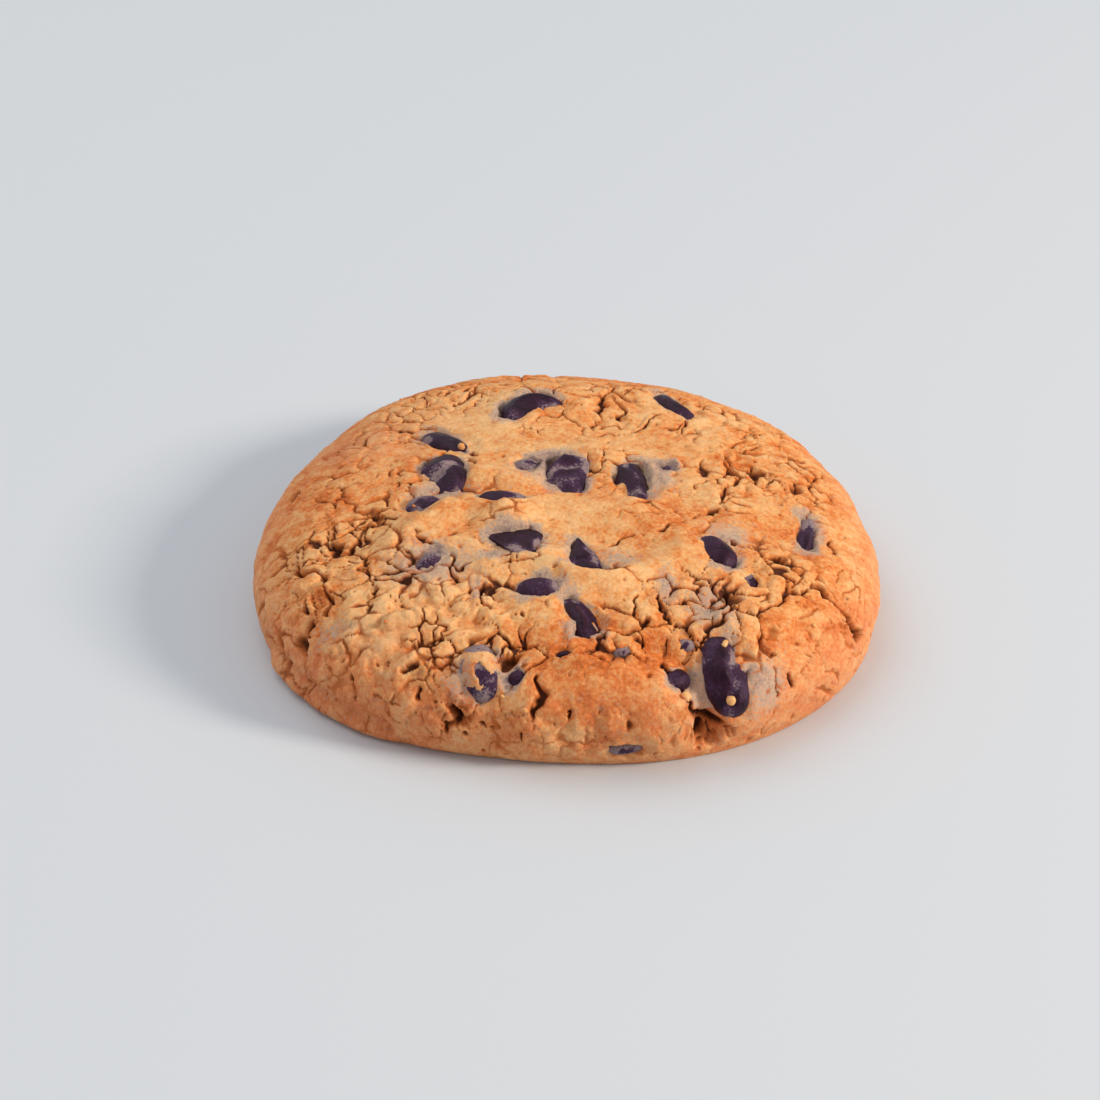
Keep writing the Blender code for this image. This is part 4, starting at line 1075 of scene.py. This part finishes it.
def build_crumbs(form, material):
    """Loose crumbs, as one piece: a few on and beside the chocolate, the rest where the crust is rough."""
    draw = np.random.default_rng(CRUMB_SEED)
    crumbs = [(u, v, size) for (u, v), size in LOOSE_CRUMBS.items()]
    while len(crumbs) < len(LOOSE_CRUMBS) + SCATTERED_CRUMBS:
        u, v = draw.uniform(-CRUMB_REACH, CRUMB_REACH, 2)
        here = np.array([u]), np.array([v])
        if draw.random() < strength(*here, CRUMBLY + CRAGGY)[0] and math.hypot(u, v) < CRUMB_REACH:
            crumbs.append((u, v, draw.uniform(*CRUMB_SIZES)))
    heap = bmesh.new()
    for number, (u, v, size) in enumerate(crumbs):
        here = np.array([u]), np.array([v])
        height = form.crust_height(*here)[0]
        for drop in DROPS.values():
            if drop_reach(*here, drop)[0] < 1:
                height = np.maximum(height, form.drop_top(*here, drop))
        seat = Vector(form.place(*here, height + CRUMB_RISE * size)[0])
        ball = bmesh.ops.create_icosphere(heap, subdivisions=2, radius=size / 2 * MM)["verts"]
        spin = Matrix.Rotation(draw.uniform(0, 2 * math.pi), 4, Vector(draw.normal(size=3)).normalized())
        scale = draw.uniform(*CRUMB_SQUEEZE, 3)
        for vert in ball:
            uneven = float(swell(vert.co.x / MM + vert.co.z / MM, vert.co.y / MM, 0.4 * size, number))
            lump = 1 + CRUMB_LUMP * uneven
            squeezed = Vector([side * share * lump for side, share in zip(vert.co, scale)])
            vert.co = seat + spin @ squeezed
    mesh = mesh_from(heap, "crumbs")
    mesh.vertices.foreach_set("co", keep_in_box(places_of(mesh)).ravel())
    count = len(mesh.vertices)
    browned = np.full(count, CRUMB_BROWNED)
    browned[: count * len(LOOSE_CRUMBS) // len(crumbs)] = LOOSE_BROWNED
    store(mesh, "browned", browned)
    for name in ("rosy_shade", "hollow_shade", "stained"):
        store(mesh, name, np.zeros(count))
    piece = link_piece("crumbs", mesh, material)
    finish_piece(piece, "baked_dough")
    return piece


def add_node(tree, kind, values=None, links=None, **settings):
    """Adds a node with its settings, its constant inputs, and links from other nodes' outputs."""
    node = tree.nodes.new(kind)
    for name, value in settings.items():
        setattr(node, name, value)
    for name, value in (values or {}).items():
        node.inputs[name].default_value = value
    for name, output in (links or {}).items():
        tree.links.new(output, node.inputs[name])
    return node


def new_material(name):
    """A material with its node tree and its shader."""
    material = bpy.data.materials.new(name)
    material.use_nodes = True
    return material, material.node_tree, material.node_tree.nodes["Principled BSDF"]


def noise_settings(spacing, detail, roughness):
    """A noise's inputs for a pattern of a spacing in millimetres."""
    return {"Scale": 1 / (spacing * MM), "Detail": detail, "Roughness": roughness}


def lay_tones(tree, colour, layers):
    """Lays tones over a colour, each from where its pattern starts to where it is strongest, as a share."""
    for tone, pattern, start, full, most in layers:
        limits = {"From Min": start, "From Max": full, "To Max": most}
        share = add_node(tree, "ShaderNodeMapRange", limits, {"Value": pattern}).outputs["Result"]
        links = {0: share, 6: colour}
        colour = add_node(tree, "ShaderNodeMix", {7: (*tone, 1)}, links, data_type="RGBA").outputs[2]
    return colour


def baked_dough_material(colours):
    """Baked wheat dough with butter and sugar: a dry crust, golden where thin and orange where it caught."""
    material, tree, shader = new_material("baked_wheat_dough")
    place = {"Vector": add_node(tree, "ShaderNodeTexCoord").outputs["Object"]}
    read = {
        name: add_node(tree, "ShaderNodeAttribute", attribute_name=name).outputs["Fac"]
        for name in ("browned", "rosy_shade", "hollow_shade", "stained")
    }
    # Mottling of about 2 mm and flecks of half a millimetre move the toasting up and down.
    mottle = add_node(tree, "ShaderNodeTexNoise", noise_settings(*MOTTLE), place).outputs["Fac"]
    fleck = add_node(tree, "ShaderNodeTexNoise", noise_settings(*FLECK), place).outputs["Fac"]
    toast = read["browned"]
    for noise, reach in ((mottle, 0.26), (fleck, 0.22)):
        limits = {"From Min": 0.3, "From Max": 0.7, "To Min": -reach, "To Max": reach}
        spread = add_node(tree, "ShaderNodeMapRange", limits, {"Value": noise}).outputs["Result"]
        toast = add_node(tree, "ShaderNodeMath", links={0: toast, 1: spread}, operation="ADD").outputs[0]
    ramp = add_node(tree, "ShaderNodeValToRGB", links={"Fac": toast})
    stops = ramp.color_ramp.elements
    stops[0].position, stops[0].color = 0.0, (*colours.palest, 1)
    stops[1].position, stops[1].color = 1.0, (*colours.brownest, 1)
    for position, tone in ((0.32, colours.golden), (0.62, colours.orange)):
        stops.new(position).color = (*tone, 1)
    # Chocolate rubbed into the dough lies in blotches with a powdery edge.
    blotch = add_node(tree, "ShaderNodeTexNoise", noise_settings(*BLOTCH), place).outputs["Fac"]
    powder = add_node(tree, "ShaderNodeTexNoise", noise_settings(*BLOTCH_EDGE), place).outputs["Fac"]
    cloud = add_node(tree, "ShaderNodeMath", {1: 0.6}, {0: blotch}, operation="MULTIPLY").outputs[0]
    grain = add_node(tree, "ShaderNodeMath", {1: 1.3}, {0: powder}, operation="MULTIPLY").outputs[0]
    both = add_node(tree, "ShaderNodeMath", links={0: cloud, 1: grain}, operation="ADD").outputs[0]
    laid = add_node(tree, "ShaderNodeMath", links={0: read["stained"], 1: both}, operation="ADD").outputs[0]
    # A crack is raw orange dough at its rim, and painted shade deep down; so are pores, crevices and pits.
    layers = (
        # The rose tint of the sides is partly painted shade.
        (colours.rosy_shade, read["rosy_shade"], 0.0, 1.0, 0.5),
        (colours.stain, laid, 1.05, 1.45, 0.85),
        (colours.smear, laid, 1.5, 1.9, 0.8),
        (colours.crack_rim, read["hollow_shade"], 0.04, 0.4, 0.75),
        (colours.crack, read["hollow_shade"], 0.35, 0.9, 0.95),
    )
    tree.links.new(lay_tones(tree, ramp.outputs["Color"], layers), shader.inputs["Base Color"])
    dryness = add_node(tree, "ShaderNodeMapRange", {"To Min": 0.6, "To Max": 0.85}, {"Value": mottle})
    tree.links.new(dryness.outputs["Result"], shader.inputs["Roughness"])
    shader.inputs["IOR"].default_value = 1.45
    shader.inputs["Specular IOR Level"].default_value = 0.22
    shader.inputs["Subsurface Weight"].default_value = 0.1
    shader.inputs["Subsurface Radius"].default_value = (1.0, 0.45, 0.2)
    shader.inputs["Subsurface Scale"].default_value = 1.0 * MM
    uneven = add_node(tree, "ShaderNodeTexNoise", noise_settings(*CRUST_GRAIN), place).outputs["Fac"]
    relief = {"Strength": 0.9, "Distance": 0.2 * MM}
    bump = add_node(tree, "ShaderNodeBump", relief, {"Height": uneven}).outputs["Normal"]
    tree.links.new(bump, shader.inputs["Normal"])
    return material


def chocolate_material(colours):
    """Dark chocolate, melted and set again in the oven: a satin skin with a dull bloom, and dough on it."""
    material, tree, shader = new_material("dark_chocolate")
    place = {"Vector": add_node(tree, "ShaderNodeTexCoord").outputs["Object"]}
    rubbed = add_node(tree, "ShaderNodeAttribute", attribute_name="rubbed").outputs["Fac"]
    cloud = add_node(tree, "ShaderNodeTexNoise", noise_settings(*BLOOM_CLOUD), place).outputs["Fac"]
    ramp = add_node(tree, "ShaderNodeValToRGB", links={"Fac": cloud})
    for stop, position, tone in zip(
        ramp.color_ramp.elements, (0.35, 0.7), (colours.chocolate_dark, colours.chocolate_light)
    ):
        stop.position, stop.color = position, (*tone, 1)
    # Dough dust lies where the drop is rubbed, in fine specks that thin out towards its middle.
    powder = add_node(tree, "ShaderNodeTexNoise", noise_settings(*DUST_SPECKS), place).outputs["Fac"]
    grain = add_node(tree, "ShaderNodeMath", {1: 1.7}, {0: powder}, operation="MULTIPLY").outputs[0]
    laid = add_node(tree, "ShaderNodeMath", links={0: rubbed, 1: grain}, operation="ADD").outputs[0]
    layers = ((colours.bloom, laid, 0.95, 1.6, 0.75), (colours.dust, laid, 1.48, 1.8, 0.85))
    tree.links.new(lay_tones(tree, ramp.outputs["Color"], layers), shader.inputs["Base Color"])
    limits = {"From Min": 0.85, "From Max": 1.6, "To Min": 0.3, "To Max": 0.8}
    rough = add_node(tree, "ShaderNodeMapRange", limits, {"Value": laid}).outputs["Result"]
    tree.links.new(rough, shader.inputs["Roughness"])
    shader.inputs["IOR"].default_value = 1.5
    shader.inputs["Specular IOR Level"].default_value = 0.28
    shader.inputs["Specular Tint"].default_value = (*colours.sheen, 1)
    fine = add_node(tree, "ShaderNodeTexNoise", noise_settings(*SATIN), place).outputs["Fac"]
    relief = {"Strength": 0.8, "Distance": 0.25 * MM}
    bump = add_node(tree, "ShaderNodeBump", relief, {"Height": fine}).outputs["Normal"]
    tree.links.new(bump, shader.inputs["Normal"])
    return material


def floor_material(colours):
    """A matte painted board: pale and even."""
    material, tree, shader = new_material("matte_board")
    shader.inputs["Base Color"].default_value = (*colours.floor, 1)
    shader.inputs["Roughness"].default_value = 0.8
    return material


def length_property(name, description, millimetres):
    return bpy.props.FloatProperty(
        name=name, description=description, default=millimetres * MM, min=0.0, unit="LENGTH", precision=4
    )


def colour_property(name, description, code):
    return bpy.props.FloatVectorProperty(
        name=name, description=description, default=hex_rgb(code), subtype="COLOR", size=3, min=0.0, max=1.0
    )


class CookieForm(bpy.types.PropertyGroup):
    """The baked form's main sizes."""

    radius: length_property("Radius", "Mean half width at the widest level", 42.9)
    crown_height: length_property("Crown height", "Height of the smooth crown above the base", 17.2)
    widest_height: length_property("Widest height", "How far above the base the cookie is widest", 5.5)


class CookieColours(bpy.types.PropertyGroup):
    """The colours of crust, chocolate and floor."""

    palest: colour_property("Palest crust", "Where the crust is barely coloured", "#EFBC82")
    golden: colour_property("Golden crust", "Most of the crown", "#E6A162")
    orange: colour_property("Orange crust", "Where the crust caught", "#DA7836")
    brownest: colour_property("Brown crust", "The darkest of the crust", "#AC4F1C")
    # Partly painted shade: the rose tint of the sides.
    rosy_shade: colour_property("Rosy side", "The sides near the base", "#D88A65")
    crack_rim: colour_property("Crack rim", "The raw edges of cracks and pores", "#C0662A")
    # The deep crack colour is painted shade.
    crack: colour_property("Crack", "Deep inside cracks and pores", "#421A0A")
    stain: colour_property("Stain", "Where chocolate is thinly rubbed into the dough", "#BAA08C")
    smear: colour_property("Smear", "Where it is thick", "#86706E")
    chocolate_dark: colour_property("Dark chocolate", "The chocolate's own colour", "#1A0914")
    chocolate_light: colour_property("Lighter chocolate", "Where it shines less", "#301326")
    sheen: colour_property("Sheen", "The tint of the chocolate's shine", "#E6C4DA")
    bloom: colour_property("Bloom", "Dull bloom on the chocolate", "#4C3450")
    dust: colour_property("Dust", "Dough rubbed on the chocolate", "#94807E")
    floor: colour_property("Floor", "The board under the cookie", "#CDD2D8")


def baked_form():
    sizes = bpy.context.scene.cookie_form
    return BakedForm(sizes.radius / MM, sizes.crown_height / MM, sizes.widest_height / MM)


class CookieCrust(bpy.types.Operator):
    """Make the crust with its folds, broken plates, cracks and pores"""

    bl_idname = "cookie.crust"
    bl_label = "Crust"

    def execute(self, context):
        build_crust(baked_form(), baked_dough_material(context.scene.cookie_colours))
        return {"FINISHED"}


class CookieChocolate(bpy.types.Operator):
    """Set every chocolate drop into the crust"""

    bl_idname = "cookie.chocolate"
    bl_label = "Chocolate drops"

    def execute(self, context):
        form = baked_form()
        material = chocolate_material(context.scene.cookie_colours)
        for number, (name, drop) in enumerate(DROPS.items()):
            build_drop(name, drop, form, material, DROP_SEED + DROP_SEED_STEP * number)
        return {"FINISHED"}


class CookieCrumbs(bpy.types.Operator):
    """Strew loose crumbs over the crust, in the crust's own material"""

    bl_idname = "cookie.crumbs"
    bl_label = "Crumbs"

    def execute(self, context):
        crust = bpy.data.objects.get("crust")
        if crust is None:
            raise RuntimeError("the crumbs are made after the crust")
        build_crumbs(baked_form(), crust.data.materials[0])
        return {"FINISHED"}


class CookieStage(bpy.types.Operator):
    """Lay the pale floor and set up the camera and the lights"""

    bl_idname = "cookie.stage"
    bl_label = "Floor, camera and lights"

    def execute(self, context):
        build_stage(context.scene)
        return {"FINISHED"}


def build_stage(scene):
    """The pale floor, the camera at the photograph's angle, and soft light."""
    sheet = bmesh.new()
    bmesh.ops.create_grid(sheet, x_segments=1, y_segments=1, size=FLOOR_HALF)
    mesh = mesh_from(sheet, "floor")
    floor = bpy.data.objects.new("floor", mesh)
    scene.collection.objects.link(floor)
    mesh.materials.append(floor_material(scene.cookie_colours))
    floor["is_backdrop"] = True

    lens = bpy.data.cameras.new("camera")
    lens.lens, lens.sensor_width = LENS_MM, SENSOR_MM
    lens.clip_start = NEAREST_SEEN
    lens.shift_x = (PHOTO_SIDE / 2 - MIDDLE_PIXEL[0]) / PHOTO_SIDE
    lens.shift_y = (MIDDLE_PIXEL[1] - PHOTO_SIDE / 2) / PHOTO_SIDE
    camera = bpy.data.objects.new("camera", lens)
    scene.collection.objects.link(camera)
    reach = LENS_MM / SENSOR_MM * PHOTO_SIDE * MM_PER_PIXEL * MM
    elevation = math.radians(VIEW_ELEVATION)
    middle = Vector((*BOX_SHIFT, 0)) * MM
    camera.location = middle + Vector((0, -math.cos(elevation), math.sin(elevation))) * reach
    camera.rotation_euler = (math.pi / 2 - elevation, 0, 0)
    scene.camera = camera

    world = bpy.data.worlds.new("studio")
    world.use_nodes = True
    background = world.node_tree.nodes["Background"]
    background.inputs["Color"].default_value = WORLD_COLOUR
    background.inputs["Strength"].default_value = WORLD_STRENGTH
    scene.world = world
    for name, light in LIGHTS.items():
        add_light(scene, name, light)
    scene.view_settings.view_transform = "Standard"
    scene.view_settings.look = "None"


def add_light(scene, name, light):
    """A square soft light that looks at the cookie."""
    lamp = bpy.data.lights.new(name, "AREA")
    lamp.size, lamp.energy = light.side, light.power
    lamp.color = hex_rgb(light.colour)
    made = bpy.data.objects.new(name, lamp)
    scene.collection.objects.link(made)
    azimuth, elevation = math.radians(light.azimuth), math.radians(light.elevation)
    level = math.cos(elevation)
    towards = Vector((level * math.cos(azimuth), level * math.sin(azimuth), math.sin(elevation)))
    made.location = towards * LIGHT_DISTANCE
    made.rotation_euler = towards.to_track_quat("Z", "Y").to_euler()


class CookiePanel(bpy.types.Panel):
    """The cookie's sizes, colours and steps, in the sidebar"""

    bl_idname = "VIEW3D_PT_cookie"
    bl_label = "Chocolate Chip Cookie"
    bl_space_type = "VIEW_3D"
    bl_region_type = "UI"
    bl_category = "Cookie"

    def draw(self, context):
        for group in (context.scene.cookie_form, context.scene.cookie_colours):
            for name in type(group).__annotations__:
                self.layout.prop(group, name)
        for operator in OPERATORS:
            self.layout.operator(operator.bl_idname)


OPERATORS = (CookieCrust, CookieChocolate, CookieCrumbs, CookieStage)
CLASSES = (CookieForm, CookieColours, *OPERATORS, CookiePanel)


def register():
    for cls in CLASSES:
        bpy.utils.register_class(cls)
    bpy.types.Scene.cookie_form = bpy.props.PointerProperty(type=CookieForm)
    bpy.types.Scene.cookie_colours = bpy.props.PointerProperty(type=CookieColours)


def unregister():
    del bpy.types.Scene.cookie_colours
    del bpy.types.Scene.cookie_form
    for cls in reversed(CLASSES):
        bpy.utils.unregister_class(cls)


def main():
    register()
    bpy.ops.cookie.crust()
    bpy.ops.cookie.chocolate()
    bpy.ops.cookie.crumbs()
    bpy.ops.cookie.stage()


if __name__ == "__main__":
    main()
